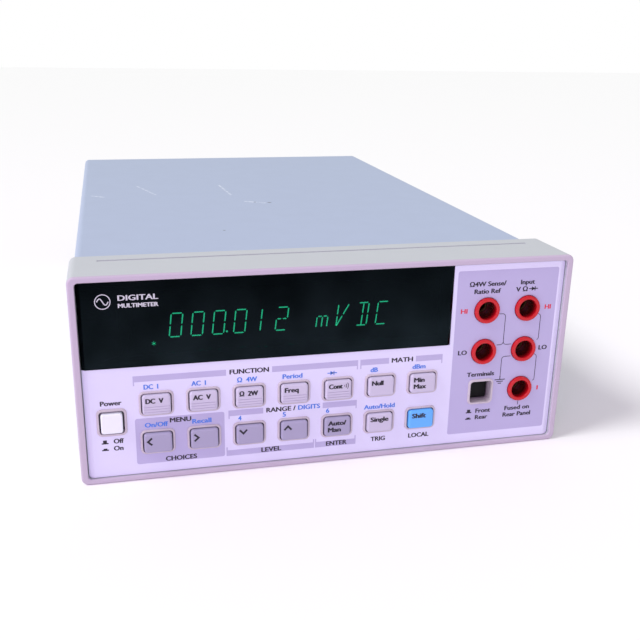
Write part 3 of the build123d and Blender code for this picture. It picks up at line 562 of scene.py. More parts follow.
# finishes of new pieces and of single nodes
OWN_FINISHES: tuple[Finish, ...] = (
    # the front jacks' nylon, for jacks whose mouths face the other way, with the same painted shade in the
    # bore
    Recessed("rear_jack_red_nylon", JACK_RED, 0.24, surface=Surface.SATIN, specular=0.45, inner=JACK_BORE_SHADE,
             start=335.0, reach=-3.0),
    # screened epoxy inks: flat, slightly uneven in tone
    Finish("ink_charcoal", "#211C29", 0.6, unevenness=0.08),
    Finish("ink_blue", "#4A80DE", 0.6, unevenness=0.05),
    Finish("ink_red", "#D83048", 0.6, unevenness=0.05),
    Finish("ink_shade", PANEL_SHADE, 0.5, unevenness=0.03),
    Finish("ink_pale_grey", "#C9CBD2", 0.6, unevenness=0.05),
    # vacuum fluorescent phosphor, lit: an even blue-green glow
    Finish("phosphor_blue_green", PHOSPHOR, 0.5, unevenness=0.0,
           extra=(("Emission Color", srgb(PHOSPHOR)), ("Emission Strength", 170.0))),
    # drawn soda glass: clear, with a faint grey edge
    Finish("fuse_glass", "#F2F5F4", 0.0, unevenness=0.0, extra=(("Transmission Weight", 1.0),)),
)

NODE_FINISH: dict[str, str] = {"rear_jacks": "rear_jack_red_nylon"}


class Paintbox:
    """Keeps the materials and puts them on the CAD nodes and the new pieces."""

    def __init__(self) -> None:
        """Builds every finish once."""
        self.materials = {finish.name: finish.build() for finish in (*SLOT_FINISHES.values(), *OWN_FINISHES)}

    def paint_frame(self, loaded: dict[str, Any]) -> None:
        """Gives each CAD node the finish of its material slot.

        Args:
            loaded: what import_model() returned.
        """
        slots = {part["node"]: part["material_slot"] for part in loaded["record"]["subparts"]}
        for name, node in loaded["nodes"].items():
            self.paint(node, NODE_FINISH.get(name) or SLOT_FINISHES[slots[name]].name)

    def paint(self, piece: Object, finish: str) -> Object:
        """Gives a piece one finish.

        Args:
            piece: the piece.
            finish: name of the finish.

        Returns:
            The same piece.
        """
        piece.data.materials.clear()
        piece.data.materials.append(self.materials[finish])
        return piece


# ---------------------------------------------------------------- shapes
def make_mesh(name: str, vertices: np.ndarray, faces: Sequence[Sequence[int]], smooth: bool = False,
              solid: bool = False) -> Object:
    """Makes an object from vertices in millimetres.

    Args:
        name: name of the object.
        vertices: N by 3 array.
        faces: vertex numbers of each face.
        smooth: whether the faces are shaded smooth.
        solid: whether it is a closed body, whose doubles are merged and normals turned outwards.

    Returns:
        The new object, linked to the scene, at the origin.
    """
    mesh = bpy.data.meshes.new(name)
    mesh.from_pydata((np.asarray(vertices, float) * MM).tolist(), [], [tuple(f) for f in faces])
    if solid:
        shell = bmesh.new()
        shell.from_mesh(mesh)
        bmesh.ops.remove_doubles(shell, verts=shell.verts, dist=0.002 * MM)
        bmesh.ops.dissolve_degenerate(shell, edges=shell.edges, dist=0.001 * MM)
        bmesh.ops.recalc_face_normals(shell, faces=shell.faces)
        shell.to_mesh(mesh)
        shell.free()
    mesh.polygons.foreach_set("use_smooth", np.full(len(mesh.polygons), smooth))
    mesh.update()
    made = bpy.data.objects.new(name, mesh)
    bpy.context.scene.collection.objects.link(made)
    return made


def joined(outlines: Iterable[Outline]) -> Outline:
    """Puts several outlines or solids into one.

    Args:
        outlines: pairs of vertices and faces.

    Returns:
        One pair with the faces renumbered.
    """
    vertices, faces, count = [], [], 0
    for points, found in outlines:
        vertices.append(points)
        faces.extend(tuple(i + count for i in face) for face in found)
        count += len(points)
    return np.concatenate(vertices), faces


def ribbon(points: Sequence[Point], width: float, closed: bool = False) -> Outline:
    """A flat line of even width: each point moves half a width to both sides along its corner's mitre.

    Args:
        points: the line's centre.
        width: its width.
        closed: whether the last point joins the first.

    Returns:
        Vertices in the plane and four-sided faces.
    """
    line = np.asarray(points, float)
    ahead = np.roll(line, -1, axis=0) - line
    behind = line - np.roll(line, 1, axis=0)
    if not closed:
        ahead[-1], behind[0] = behind[-1], ahead[0]
    unit_a = ahead / np.linalg.norm(ahead, axis=1, keepdims=True)
    unit_b = behind / np.linalg.norm(behind, axis=1, keepdims=True)
    normal = np.stack([-(unit_a + unit_b)[:, 1], (unit_a + unit_b)[:, 0]], 1)
    normal /= np.linalg.norm(normal, axis=1, keepdims=True)
    side = np.stack([-unit_a[:, 1], unit_a[:, 0]], 1)
    sharpest = 0.35  # keeps the mitre of a sharp corner short
    reach = width / 2 / np.clip((normal * side).sum(1, keepdims=True), sharpest, 1)
    count = len(line)
    vertices = np.concatenate([line + normal * reach, line - normal * reach])
    first = np.arange(count if closed else count - 1)
    after = (first + 1) % count
    faces = np.stack([first, after, after + count, first + count], 1)[:, ::-1]
    return vertices, [tuple(f) for f in faces.tolist()]


def arc(centre: Point, radius: float, start: float, end: float, steps: int = 12) -> list[Point]:
    """Points along a circle: centre + radius * (cos, sin) of the angle.

    Args:
        centre: middle of the circle.
        radius: its radius.
        start: first angle in degrees.
        end: last angle in degrees.
        steps: number of stretches.

    Returns:
        The points.
    """
    angle = np.radians(np.linspace(start, end, steps + 1))
    x, z = centre[0] + radius * np.cos(angle), centre[1] + radius * np.sin(angle)
    return [tuple(p) for p in np.stack([x, z], 1)]


def filled(points: Sequence[Point]) -> Outline:
    """One flat face inside an outline.

    Args:
        points: the outline, anticlockwise as seen from the front.

    Returns:
        Its vertices and its one face.
    """
    return np.asarray(points, float), [tuple(range(len(points)))]


def plate(x: Point, z: Point) -> Outline:
    """A rectangle.

    Args:
        x: left and right edges.
        z: bottom and top edges.

    Returns:
        Its vertices and its one face.
    """
    return filled([(x[0], z[0]), (x[1], z[0]), (x[1], z[1]), (x[0], z[1])])


def revolve(profile: Sequence[Point], centre: Point, steps: int = 32) -> Outline:
    """Closed solid turned about an axis along Y: (x, z) = centre + r * (cos a, sin a), y = RIM_Y + depth.

    Args:
        profile: (radius, depth) points of a closed section; points of no radius become one pole.
        centre: x and z of the axis.
        steps: stretches round the axis.

    Returns:
        Vertices and faces.
    """
    radius, depth = np.asarray(profile, float).T
    angle = np.linspace(0, 2 * np.pi, steps, endpoint=False)
    x = centre[0] + radius[:, None] * np.cos(angle)
    z = centre[1] + radius[:, None] * np.sin(angle)
    y = np.broadcast_to(RIM_Y + depth[:, None], x.shape)
    count = len(profile)
    row, column = np.meshgrid(np.arange(count), np.arange(steps), indexing="ij")
    after, below = (column + 1) % steps, (row + 1) % count
    faces = np.stack([row * steps + column, row * steps + after, below * steps + after,
                      below * steps + column], -1)
    kept = faces[(radius[row] > 0) | (radius[below] > 0)]
    return np.stack([x, y, z], -1).reshape(-1, 3), [tuple(f) for f in kept.reshape(-1, 4).tolist()]


def boxes(centres: np.ndarray, size: Point3) -> Outline:
    """Equal boxes at many places: each corner is centre + sign * size / 2.

    Args:
        centres: N by 3 array.
        size: width, depth and height of each box.

    Returns:
        Vertices and four-sided faces.
    """
    signs = np.array([(a, b, c) for a in (-1, 1) for b in (-1, 1) for c in (-1, 1)], float)
    vertices = (centres[:, None, :] + signs[None] * np.array(size) / 2).reshape(-1, 3)
    one = np.array([(0, 1, 3, 2), (4, 6, 7, 5), (0, 4, 5, 1), (2, 3, 7, 6), (0, 2, 6, 4), (1, 5, 7, 3)])
    faces = (np.arange(len(centres))[:, None, None] * 8 + one[None]).reshape(-1, 4)
    return vertices, [tuple(f) for f in faces.tolist()]


# ---------------------------------------------------------------- printing
class Facing(Enum):
    """Which way a printed surface looks: the sign of its outward Y."""

    FRONT = -1
    REAR = 1


@dataclass(frozen=True)
class Legend:
    """One printed word: where its left end and baseline are, and how wide and tall its capitals are."""

    text: str
    left: float
    base: float
    width: float
    height: float = 2.0
    ink: str = "ink_charcoal"


class Lettering:
    """Sets words in Blender's built-in typeface, made bolder by overprinting."""

    # each overprint's shift in spreads, and how much it is lifted over the one before
    SHIFTS = ((0.0, 0.3), (-1.0, 0.0), (1.0, 0.0), (0.0, -0.3))
    LIFT = 0.004

    def __init__(self, spread: float) -> None:
        """Measures the typeface's capital height.

        Args:
            spread: how far the overprints are moved to either side.
        """
        self.spread = spread
        self.capital = float(self.glyphs("H")[0][:, 1].max())

    def glyphs(self, text: str) -> Outline:
        """Flat outline of a word at a type size of one.

        Args:
            text: the word.

        Returns:
            Vertices in the plane and faces.
        """
        curve = bpy.data.curves.new("word", "FONT")
        curve.body = text
        curve.resolution_u = 3
        carrier = bpy.data.objects.new("word", curve)
        bpy.context.scene.collection.objects.link(carrier)
        mesh = bpy.data.meshes.new_from_object(carrier)
        flat = np.zeros(len(mesh.vertices) * 3)
        mesh.vertices.foreach_get("co", flat)
        faces = [tuple(p.vertices) for p in mesh.polygons]
        bpy.data.objects.remove(carrier)
        bpy.data.curves.remove(curve)
        bpy.data.meshes.remove(mesh)
        return flat.reshape(-1, 3)[:, :2], faces

    def word(self, legend: Legend) -> Outline:
        """Outline of a legend at its place, stretched to its width and height.

        Args:
            legend: what is printed and where.

        Returns:
            Vertices in the plane of the surface, with their lift, and faces.
        """
        points, faces = self.glyphs(legend.text)
        low, high = points[:, 0].min(), points[:, 0].max()
        inner = legend.width - 2 * self.spread
        across = legend.left + self.spread + (points[:, 0] - low) * inner / (high - low)
        up = legend.base + points[:, 1] * legend.height / self.capital
        return joined((np.stack([across + a * self.spread, up + b * self.spread,
                                 np.full_like(up, self.LIFT * i)], 1), faces)
                      for i, (a, b) in enumerate(self.SHIFTS))


@dataclass
class Printer:
    """Collects the print of one surface and makes one thin piece per ink.

    The film stands out of the surface by its thickness and reaches a little way into it.
    """

    name: str
    depth: float
    body: str
    paints: Paintbox
    facing: Facing = Facing.FRONT
    film: float = 0.03
    sunk: float = 0.6
    marks: dict[str, list[Outline]] = field(default_factory=dict)

    def add(self, ink: str, *outlines: Outline) -> None:
        """Adds marks in one ink.

        Args:
            ink: name of the finish.
            outlines: flat shapes, in x and z as seen from in front of the surface, and lift if they overlap.
        """
        self.marks.setdefault(ink, []).extend(outlines)

    def words(self, letters: Lettering, legends: Iterable[Legend]) -> None:
        """Adds printed words.

        Args:
            letters: the typeface.
            legends: what is printed and where.
        """
        for legend in legends:
            self.add(legend.ink, letters.word(legend))

    def finish(self) -> list[Object]:
        """Makes the pieces.

        Returns:
            One piece per ink.
        """
        made = []
        outward = self.facing.value
        for ink, outlines in self.marks.items():
            flat, faces = joined((np.pad(points, ((0, 0), (0, 3 - points.shape[1]))), found)
                                 for points, found in outlines)
            y = RIM_Y + self.depth + outward * (self.film + flat[:, 2])
            vertices = np.stack([-outward * flat[:, 0], y, flat[:, 1]], 1)
            piece = make_mesh(f"{self.name}_{ink}", vertices, faces)
            thick = piece.modifiers.new("film", "SOLIDIFY")
            thick.thickness = self.film * (1 + self.sunk) * MM
            thick.offset = -1.0
            self.paints.paint(piece, ink)
            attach(piece, self.body)
            made.append(piece)
        return made


@dataclass
class Assembly:
    """A group of new pieces, made with the shared materials and typeface."""

    paints: Paintbox
    letters: Lettering

    def build(self) -> list[Object]:
        """The new pieces; each kind of assembly makes its own."""
        return []


@dataclass
class PanelPrint(Assembly):
    """Everything printed on the front panel."""

    depth: float = 1.2
    line: float = 0.38
    tie: float = 0.26
    bar: float = 2.6
    hook: float = 0.5

    def bracket(self, x: Point, z: float, gap: Point | None, drop: float) -> list[Outline]:
        """A shaded bar over a group of keys, broken for its heading, with its ends turned to the keys.

        Args:
            x: left and right ends.
            z: middle of the bar.
            gap: stretch left free for the heading.
            drop: how far the ends reach, negative downwards.

        Returns:
            The flat shapes.
        """
        half = self.bar / 2
        stretches = [x] if gap is None else [(x[0], gap[0]), (gap[1], x[1])]
        low, high = sorted((z + math.copysign(half, drop), z + drop))
        return ([plate(s, (z - half, z + half)) for s in stretches]
                + [plate((end, end + self.hook), (low, high)) for end in (x[0], x[1] - self.hook)])

    def shading(self) -> list[Outline]:
        """The tinted bars over and under the groups of keys.

        Returns:
            The flat shapes.
        """
        bars = (((-83.7, 10.2), 44.9, (-46.2, -27.0), -2.9), ((11.2, 48.5), 44.9, (24.0, 36.2), -2.9),
                ((-45.5, 10.2), 26.5, (-30.8, -5.0), -2.6), ((-46.6, -8.5), 8.1, None, 2.8),
                ((-8.1, 10.2), 8.1, None, 2.8))
        return [shape for bar in bars for shape in self.bracket(*bar)]

    def diode(self, x: float, z: float) -> list[Outline]:
        """A diode's sign, pointing right.

        Args:
            x: its middle.
            z: its middle.

        Returns:
            The flat shapes.
        """
        tip, half = 0.75, 0.95
        return [ribbon([(x - 2.1, z), (x + 2.1, z)], self.line),
                ribbon([(x + tip, z - half), (x + tip, z + half)], self.line),
                filled([(x - 0.8, z - half), (x + tip, z), (x - 0.8, z + half)])]

    def signs(self) -> list[Outline]:
        """The dark signs: diode, earth, the two positions of the push switches, and the jacks' ties.

        Returns:
            The flat shapes.
        """
        earth = ([(76.7, 33.6), (76.7, 31.9)], [(74.2, 31.9), (79.2, 31.9)], [(75.1, 31.0), (78.3, 31.0)],
                 [(75.9, 30.1), (77.5, 30.1)])
        shapes = self.diode(88.8, 73.8) + [ribbon(points, self.line) for points in earth]
        for x, z, rise in ((-96.0, 17.4, 1.7), (62.85, 16.6, 1.7), (-96.0, 14.4, 1.0), (62.85, 13.4, 1.0)):
            shapes += [plate((x - 1.35, x + 1.35), (z, z + 0.5)),
                       plate((x - 0.75, x + 0.75), (z + 0.4, z + rise))]
        return shapes + self.ties()

    def ties(self) -> list[Outline]:
        """The thin lines that tie the high and low jacks together.

        Returns:
            The flat shapes.
        """
        r = 1.4
        left = [(73.7, 63.0), *arc((75.3, 61.6), r, 90, 0, 5), (76.7, 50.2),
                *arc((75.3, 50.0), r, 0, -90, 5), (73.7, 48.6)]
        right = [(92.4, 61.9), *arc((92.2, 60.6), r, 80, 0, 5), (93.6, 51.2),
                 *arc((92.2, 51.0), r, 0, -60, 5)]
        link = [*arc((78.1, 50.0), r, 180, 270, 5), (80.6, 48.6)]
        earth = [(80.9, 42.9), *arc((78.1, 41.5), r, 90, 180, 5), (76.7, 33.5)]
        current = [(92.4, 42.9), *arc((92.2, 41.6), r, 80, 0, 5), (93.6, 31.6),
                   *arc((92.2, 31.4), r, 0, -60, 5)]
        stem = [(86.65, 20.6), (86.65, 18.9)]
        return [ribbon(points, self.tie) for points in (left, right, link, earth, current, stem)]

    def legends(self) -> list[Legend]:
        """The printed words.

        Returns:
            What is printed and where.
        """
        words: dict[str, tuple[tuple[str, float, float, float], ...]] = {
            "ink_charcoal": (
                ("FUNCTION", -44.8, 44.0, 16.5), ("MATH", 25.2, 43.9, 9.7), ("Power", -97.0, 34.3, 8.5),
                ("MENU", -69.7, 24.7, 8.8), ("CHOICES", -72.0, 7.3, 13.0), ("RANGE /", -29.5, 25.5, 12.7),
                ("LEVEL", -31.7, 7.2, 8.7), ("ENTER", -3.2, 7.2, 9.4), ("TRIG", 17.1, 7.3, 6.7),
                ("LOCAL", 34.6, 7.3, 9.7), ("Off", -92.6, 17.4, 4.1), ("On", -92.7, 14.2, 3.9),
                ("Terminals", 60.6, 34.3, 13.1), ("Front", 66.1, 16.5, 7.3), ("Rear", 66.1, 13.3, 6.1),
                ("Ω4W Sense/", 58.7, 76.0, 17.0), ("Ratio Ref", 61.1, 72.7, 12.3),
                ("Input", 82.5, 76.0, 6.7), ("V Ω", 80.5, 72.8, 5.6), ("LO", 55.6, 45.0, 4.2),
                ("LO", 94.2, 45.0, 4.1), ("Fused on", 80.3, 16.5, 12.3), ("Rear Panel", 79.7, 13.3, 13.8),
            ),
            "ink_blue": (
                ("DC  I", -79.6, 40.2, 5.9), ("AC  I", -60.5, 40.2, 6.0), ("Ω  4W", -41.7, 40.2, 8.4),
                ("Period", -22.6, 40.2, 8.6), ("dB", 15.8, 40.2, 3.4), ("dBm", 34.8, 40.2, 6.1),
                ("On/Off", -79.9, 23.3, 9.5), ("Recall", -60.6, 23.3, 8.0), ("DIGITS", -15.8, 25.5, 9.7),
                ("4", -41.5, 22.9, 1.5), ("5", -22.5, 22.9, 1.5), ("6", -3.5, 22.9, 1.5),
                ("Auto/Hold", 13.5, 22.9, 14.1),
            ),
            "ink_red": (("HI", 55.5, 64.1, 3.1), ("HI", 95.1, 64.1, 3.0), ("I", 95.3, 25.5, 0.7)),
        }
        return [Legend(*word, ink=ink) for ink, rows in words.items() for word in rows]

    def build(self) -> list[Object]:
        """Prints the panel: the tinted bars first, then a film that stands a little further out."""
        shade = Printer("panel", self.depth, BODY, self.paints, film=0.02)
        shade.add("ink_shade", *self.shading())
        ink = Printer("panel", self.depth - 0.015, BODY, self.paints)
        ink.words(self.letters, self.legends())
        ink.add("ink_charcoal", *self.signs())
        ink.add("ink_blue", *self.diode(-1.1, 41.2))
        return shade.finish() + ink.finish()


@dataclass
class WindowPrint(Assembly):
    """The pale print on the display window: a plain sine-wave badge and what the instrument is."""

    depth: float = 0.9
    badge: Point = (-93.4, 78.0)
    ring: float = 2.9
    wave: Point = (4.4, 1.3)

    def build(self) -> list[Object]:
        """Prints the window; the badge's wave is z = height * sin(turn) while x runs along it."""
        ink = Printer("window", self.depth, BODY, self.paints)
        turn = np.linspace(0, 2 * np.pi, 25)
        (x, z), (length, height) = self.badge, self.wave
        wave = np.stack([x - length / 2 + length * turn / (2 * np.pi), z + height * np.sin(turn)], 1)
        ink.add("ink_pale_grey", ribbon(arc(self.badge, self.ring, 0, 350, 35), 0.35, closed=True),
                ribbon(wave, 0.4))
        ink.words(self.letters, (Legend("DIGITAL", -87.7, 78.2, 15.5, 2.1, "ink_pale_grey"),
                                 Legend("MULTIMETER", -87.7, 75.3, 15.5, 1.6, "ink_pale_grey")))
        return ink.finish()


class Segment(Enum):
    """Strokes of a fourteen-segment character, as (x, z) from and to, in a cell one wide and one tall."""

    TOP = ((0.0, 1.0), (1.0, 1.0))
    TOP_RIGHT = ((1.0, 1.0), (1.0, 0.5))
    LOW_RIGHT = ((1.0, 0.5), (1.0, 0.0))
    BOTTOM = ((0.0, 0.0), (1.0, 0.0))
    LOW_LEFT = ((0.0, 0.0), (0.0, 0.5))
    TOP_LEFT = ((0.0, 0.5), (0.0, 1.0))
    MID_LEFT = ((0.0, 0.5), (0.5, 0.5))
    MID_RIGHT = ((0.5, 0.5), (1.0, 0.5))
    STEM_TOP = ((0.5, 0.5), (0.5, 1.0))
    STEM_LOW = ((0.5, 0.0), (0.5, 0.5))
    RISE_TOP = ((0.5, 0.5), (1.0, 1.0))
    RISE_LOW = ((0.0, 0.0), (0.5, 0.5))


CHARACTERS: dict[str, str] = {
    "0": "TOP TOP_RIGHT LOW_RIGHT BOTTOM LOW_LEFT TOP_LEFT", "1": "STEM_TOP STEM_LOW",
    "2": "TOP TOP_RIGHT MID_LEFT MID_RIGHT LOW_LEFT BOTTOM",
    "m": "LOW_LEFT MID_LEFT STEM_LOW MID_RIGHT LOW_RIGHT", "V": "TOP_LEFT LOW_LEFT RISE_LOW RISE_TOP",
    "D": "TOP TOP_RIGHT LOW_RIGHT BOTTOM STEM_TOP STEM_LOW", "C": "TOP BOTTOM LOW_LEFT TOP_LEFT", " ": "",
}


@dataclass
class Characters(Assembly):
    """The lit characters of the fluorescent tube."""

    reading: str = "000012 mVDC"
    left: float = -68.3
    base: float = 60.45
    pitch: float = 8.67
    width: float = 4.6
    height: float = 9.9
    stroke: float = 0.5
    lean: float = 0.116
    point_after: int = 2
    point: float = 0.75
    star: Point = (-74.5, 58.1)
    ray: float = 0.9
    depth: float = 5.4

    def bars(self) -> Outline:
        """Every lit stroke as a bar with pointed ends: six corners round a centre line, leant to the right.

        Returns:
            Vertices in the plane and six-sided faces.
        """
        ends = np.array([[(place, 0.0), *Segment[name].value] for place, letter in enumerate(self.reading)
                         for name in CHARACTERS[letter].split()], float)
        start, stop = (ends[:, i] * np.array([self.width, self.height]) + ends[:, 0] * self.pitch
                       for i in (1, 2))
        along = stop - start
        along /= np.linalg.norm(along, axis=1, keepdims=True)
        half = self.stroke / 2
        aside = np.stack([-along[:, 1], along[:, 0]], 1) * half
        tip_a, tip_b = start + along * half * 1.3, stop - along * half * 1.3
        inner_a, inner_b = tip_a + along * half, tip_b - along * half
        corners = np.stack([tip_a, inner_a - aside, inner_b - aside, tip_b, inner_b + aside,
                            inner_a + aside], 1).reshape(-1, 2)
        corners[:, 0] += self.lean * corners[:, 1] + self.left
        corners[:, 1] += self.base
        return corners, [tuple(range(i, i + 6)) for i in range(0, len(corners), 6)]

    def build(self) -> list[Object]:
        """Lights the tube: the strokes, the point and the six-rayed star."""
        lit = Printer("tube", self.depth, BODY, self.paints)
        dot = self.left + self.point_after * self.pitch + self.width + 1.0
        turns = np.radians((30, 90, 150))
        reach = self.ray * np.stack([np.cos(turns), np.sin(turns)], 1)
        rays = [ribbon([self.star - r, self.star + r], 0.2) for r in reach]
        lit.add("phosphor_blue_green", self.bars(),
                plate((dot, dot + self.point), (61.0, 61.0 + self.point)), *rays)
        return lit.finish()


@dataclass
class KeyPrint(Assembly):
    """The words and arrows on the key caps."""

    face: float = -1.0
    margin: float = 1.25
    capital: float = 2.05
    lines: Point = (0.85, -2.2)
    stroke: float = 0.8
    arrow_size: Point = (1.7, 1.55)

    def captions(self) -> dict[str, tuple[tuple[str, float], ...]]:
        """The words on each key and their widths, one or two lines.

        Returns:
            Key to its lines.
        """
        return {
            "dc_volts": (("DC  V", 7.3),), "ac_volts": (("AC  V", 7.4),), "ohms": (("Ω  2W", 7.9),),
            "frequency": (("Freq", 6.1),), "continuity": (("Cont", 6.2),), "null": (("Null", 5.3),),
            "min_max": (("Min", 5.0), ("Max", 5.8)), "auto_manual": (("Auto/", 8.2), ("Man", 5.9)),
            "single": (("Single", 8.3),), "shift": (("Shift", 6.6),),
        }

    def arrow(self, tip: np.ndarray, forward: np.ndarray) -> Outline:
        """An open arrowhead.

        Args:
            tip: its point.
            forward: which way it points, as a unit vector.

        Returns:
            The flat shape.
        """
        length, half = self.arrow_size
        aside = np.array([-forward[1], forward[0]])
        return ribbon([tip - forward * length + aside * half, tip, tip - forward * length - aside * half],
                      self.stroke)

    def signs(self, key: str, x: float, z: float) -> list[Outline]:
        """The arrow or the sound waves on a key.

        Args:
            key: name of the key.
            x: middle of its cap.
            z: middle of its cap.

        Returns:
            The flat shapes.
        """
        arrows = {"left": ((-4.2, 0.9), (-1.0, 0.0)), "right": ((-2.6, 0.9), (1.0, 0.0)),
                  "down": ((-2.9, 0.9), (0.0, -1.0)), "up": ((-2.9, 2.4), (0.0, 1.0))}
        if key in arrows:
            shift, forward = np.array(arrows[key])
            return [self.arrow(np.array([x, z]) + shift, forward)]
        if key == "continuity":
            return [ribbon(arc((x + 2.0, z + 1.9), r, -38, 38, 5), 0.28) for r in (0.6, 1.4, 2.2)]
        return []

    def build(self) -> list[Object]:
        """Prints every key cap: words against its left margin, then signs."""
        places = {key: (KEY_FIRST + KEY_PITCH * column, z) for z, row in zip(KEY_ROWS, KEYS)
                  for column, key in enumerate(row)}
        made = []
        for key, (x, z) in sorted(places.items()):
            ink = Printer(f"key_{key}", self.face, f"key_{key}", self.paints)
            left = x - KEY_WIDTH / 2 + self.margin
            lines = zip(self.lines, self.captions().get(key, ()))
            ink.words(self.letters, (Legend(text, left, z + rise, width, self.capital)
                                     for rise, (text, width) in lines))
            ink.add("ink_charcoal", *self.signs(key, x, z))
            made += ink.finish()
        return made


@dataclass
class RearPrint(Assembly):
    """Plain legends beside the connectors, read from behind."""

    depth: float = 334.3

    def build(self) -> list[Object]:
        """Prints the rear panel."""
        ink = Printer("rear", self.depth, BODY, self.paints, facing=Facing.REAR)
        ink.words(self.letters, (Legend(*word) for word in (
            ("HI", -77.4, 64.0, 2.8), ("LO", -77.7, 45.0, 3.4), ("I", -93.6, 25.9, 0.7),
            ("Sense", -89.5, 72.4, 8.0), ("Input", -69.8, 72.4, 6.6), ("Fuse", -46.6, 39.0, 6.0),
            ("Trig In", -50.0, 71.8, 9.0), ("Complete", -28.4, 71.8, 12.6), ("Bus", 21.2, 70.0, 5.2),
            ("Serial", -4.0, 36.0, 8.0), ("Mains", 77.0, 72.5, 7.8))))
        return ink.finish()


@dataclass
class RearContacts(Assembly):
    """Small metal contacts in the rear connectors."""

    bus: Point = (-24.0, 60.0)
    bus_pitch: float = 3.2
    bus_rows: float = 3.2
    blade: Point3 = (1.1, 4.6, 0.36)
    serial: Point = (0.0, 27.0)
    serial_pitch: float = 2.77
    serial_rows: float = 2.84
    coaxial: tuple[Point, Point] = ((45.0, 63.0), (22.0, 63.0))

    def blades(self) -> Object:
        """The bus connector's two rows of twelve blades, with rounded edges.

        Returns:
            The new piece.
        """
        across = self.bus[0] + self.bus_pitch * (np.arange(12) - 5.5)
        centres = np.array([(x, RIM_Y + 339.6, self.bus[1] + side * self.bus_rows / 2)
                            for side in (-1, 1) for x in across])
        made = make_mesh("bus_blades", *boxes(centres, self.blade), solid=True)
        bevel = made.modifiers.new("rounding", "BEVEL")
        bevel.width = 0.08 * MM
        bevel.segments = 2
        bevel.limit_method = "ANGLE"
        return made

    def sockets(self) -> Object:
        """The nine sockets of the serial connector and the two tubes of the coaxial pins.

        Returns:
            The new piece.
        """
        pin = [(0.62, 341.3), (0.62, 341.5), (0.70, 341.56), (0.87, 341.56), (0.95, 341.5), (0.95, 341.3)]
        tube = [(0.66, 341.0), (0.66, 344.55), (0.78, 344.7), (1.03, 344.7), (1.15, 344.55), (1.15, 341.0)]
        rings = [revolve(pin, (x, self.serial[1] + side * self.serial_rows / 2), 16)
                 for count, side in ((5, 1), (4, -1))
                 for x in self.serial[0] + self.serial_pitch * (np.arange(count) - (count - 1) / 2)]
        rings += [revolve(tube, place, 20) for place in self.coaxial]
        return make_mesh("socket_rings", *joined(rings), smooth=True, solid=True)

    def build(self) -> list[Object]:
        """Makes the contacts."""
        made = [self.paints.paint(piece, "contact_brass") for piece in (self.blades(), self.sockets())]
        for piece in made:
            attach(piece, BODY)
        return made


@dataclass
class CartridgeFuse(Assembly):
    """A 5 by 20 mm glass fuse lying across the mains fuse drawer."""

    centre: Point3 = (-80.0, 325.4, 60.2)
    length: float = 20.0
    radius: float = 2.5
    cap: float = 5.0

    def turned(self, name: str, profile: Sequence[Point], finish: str) -> Object:
        """Solid turned about an axis along X: (depth, z) = centre + r * (cos a, sin a).

        Args:
            name: name of the piece.
            profile: (radius, x from the middle) points.
            finish: name of its finish.

        Returns:
            The new piece.
        """
        vertices, faces = revolve(profile, (0.0, 0.0), 28)
        x, depth, z = self.centre
        turned = vertices[:, (1, 0, 2)] + np.array([x - RIM_Y, RIM_Y + depth, z])
        made = make_mesh(name, turned, faces, smooth=True, solid=True)
        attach(self.paints.paint(made, finish), "fuse_drawer")
        return made

    def build(self) -> list[Object]:
        """Makes the glass, the wire and the two end caps."""
        half, r = self.length / 2, self.radius
        outer, inner = r - 0.15, r - 0.65
        made = [
            self.turned("fuse_glass", [(outer, 0.5 - half), (outer, half - 0.5), (inner, half - 0.5),
                                       (inner, 0.5 - half)], "fuse_glass"),
            self.turned("fuse_wire", [(0.0, 1 - half), (0.12, 1 - half), (0.12, half - 1), (0.0, half - 1)],
                        "connector_nickel"),
        ]
        section = [(0.0, half), (r - 0.35, half), (r - 0.08, half - 0.08), (r, half - 0.35),
                   (r, half - self.cap), (r - 0.12, half - self.cap - 0.1), (r - 0.14, half - 0.6),
                   (0.0, half - 0.6)]
        for side, word in ((-1, "left"), (1, "right")):
            profile = [(radius, side * place) for radius, place in section]
            made.append(self.turned(f"fuse_end_{word}", profile, "connector_nickel"))
        return made


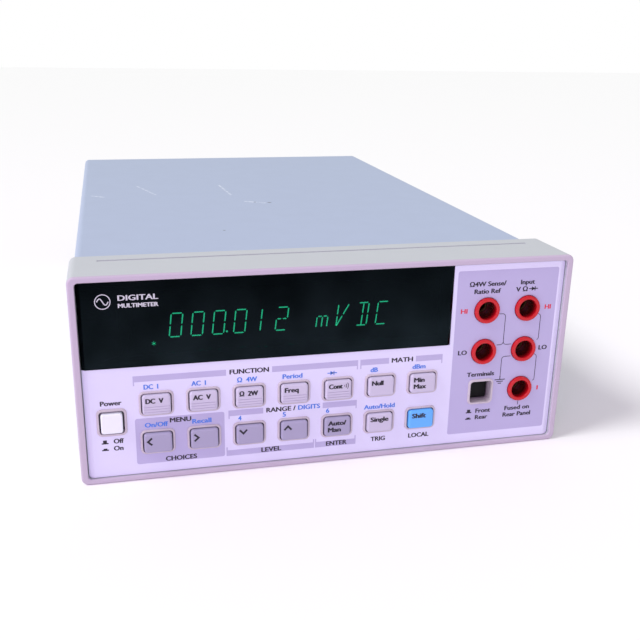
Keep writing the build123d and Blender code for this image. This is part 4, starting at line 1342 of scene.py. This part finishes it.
# ---------------------------------------------------------------- studio
@dataclass
class Studio:
    """Camera, lights and floor."""

    camera_place: Point3 = (-87.9, -494.75, 177.05)
    camera_turn: Point3 = (71.4005, -1.0441, -13.7568)
    lens: float = 47.74
    floor_half: float = 4000.0

    def camera(self) -> None:
        """Sets the scene's camera at the viewing angle."""
        data = bpy.data.cameras.new("camera")
        data.lens = self.lens
        data.sensor_width = 36.0
        data.clip_start = 0.01
        made = bpy.data.objects.new("camera", data)
        made.location = Vector(self.camera_place) * MM
        made.rotation_euler = Euler([math.radians(a) for a in self.camera_turn], "XYZ")
        bpy.context.scene.collection.objects.link(made)
        bpy.context.scene.camera = made

    def light(self, name: str, kind: str, travel: Vector, energy: float) -> Object:
        """Adds a light.

        Args:
            name: its name.
            kind: Blender's type of light.
            travel: the way its light goes.
            energy: its power in watts, or per square metre for a distant light.

        Returns:
            The light.
        """
        data = bpy.data.lights.new(name, kind)
        data.energy = energy
        made = bpy.data.objects.new(name, data)
        made.rotation_euler = travel.to_track_quat("-Z", "Y").to_euler()
        bpy.context.scene.collection.objects.link(made)
        return made

    def lights(self) -> None:
        """A distant soft light, which reaches the floor evenly, and a square lamp in front."""
        sky = self.light("skylight", "SUN", Vector((0.66, 0.10, -0.74)), 1.85)
        sky.data.angle = math.radians(22.0)
        place, aim = Vector((-0.5, -1.3, 0.6)), Vector((0, -0.17, 0.04))
        front = self.light("front", "AREA", aim - place, 5.2)
        front.location = place
        front.data.size = 0.8
        front.data.color = srgb("#EEB4FF")[:3]

    def world(self) -> None:
        """A white backdrop that lights the object less strongly than it shows itself."""
        bpy.context.scene.view_settings.view_transform = "Standard"
        world = bpy.data.worlds.new("studio")
        on = Nodes(world)
        dim, bright = (on.add("Background", {"Color": srgb("#FFFFFF"), "Strength": strength})
                       for strength in (0.58, 1.0))
        mixed = on.add("MixShader", {0: on.add("LightPath").outputs["Is Camera Ray"],
                                     1: dim.outputs["Background"], 2: bright.outputs["Background"]})
        on.add("OutputWorld", {"Surface": mixed.outputs["Shader"]})
        bpy.context.scene.world = world

    def floor(self) -> None:
        """A sheet of white paper under the object."""
        half = self.floor_half
        sheet = [(-half, -half, 0), (half, -half, 0), (half, half, 0), (-half, half, 0)]
        made = make_mesh("floor", np.array(sheet), [(0, 1, 2, 3)])
        paper = Finish("floor_paper", "#FAFAFA", 0.9, unevenness=0.0, specular=0.1)
        made.data.materials.append(paper.build())
        made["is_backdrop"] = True


def corners(box: Any) -> list[list[float]]:
    """A box, given by its lowest and highest corner, as plain lists."""
    return [[float(v) for v in corner] for corner in box]


def main() -> None:
    logging.basicConfig(level=logging.INFO)
    cad_box = corners(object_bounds())
    studio = Studio()
    studio.camera()
    paints = Paintbox()
    paints.paint_frame(frame)
    letters = Lettering(spread=0.13)
    bold = Lettering(spread=0.2)
    for assembly in (PanelPrint(paints, letters), WindowPrint(paints, letters), Characters(paints, letters),
                     KeyPrint(paints, bold), RearPrint(paints, letters), RearContacts(paints, letters),
                     CartridgeFuse(paints, letters)):
        for piece in assembly.build():
            log.info("%s: %s, %d faces", type(assembly).__name__, piece.name, len(piece.data.polygons))
    studio.world()
    studio.lights()
    studio.floor()
    bpy.context.view_layer.update()
    visual_box = corners(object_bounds())
    log.info("CAD box %s, visual box %s", cad_box, visual_box)


if __name__ == "__main__":
    main()
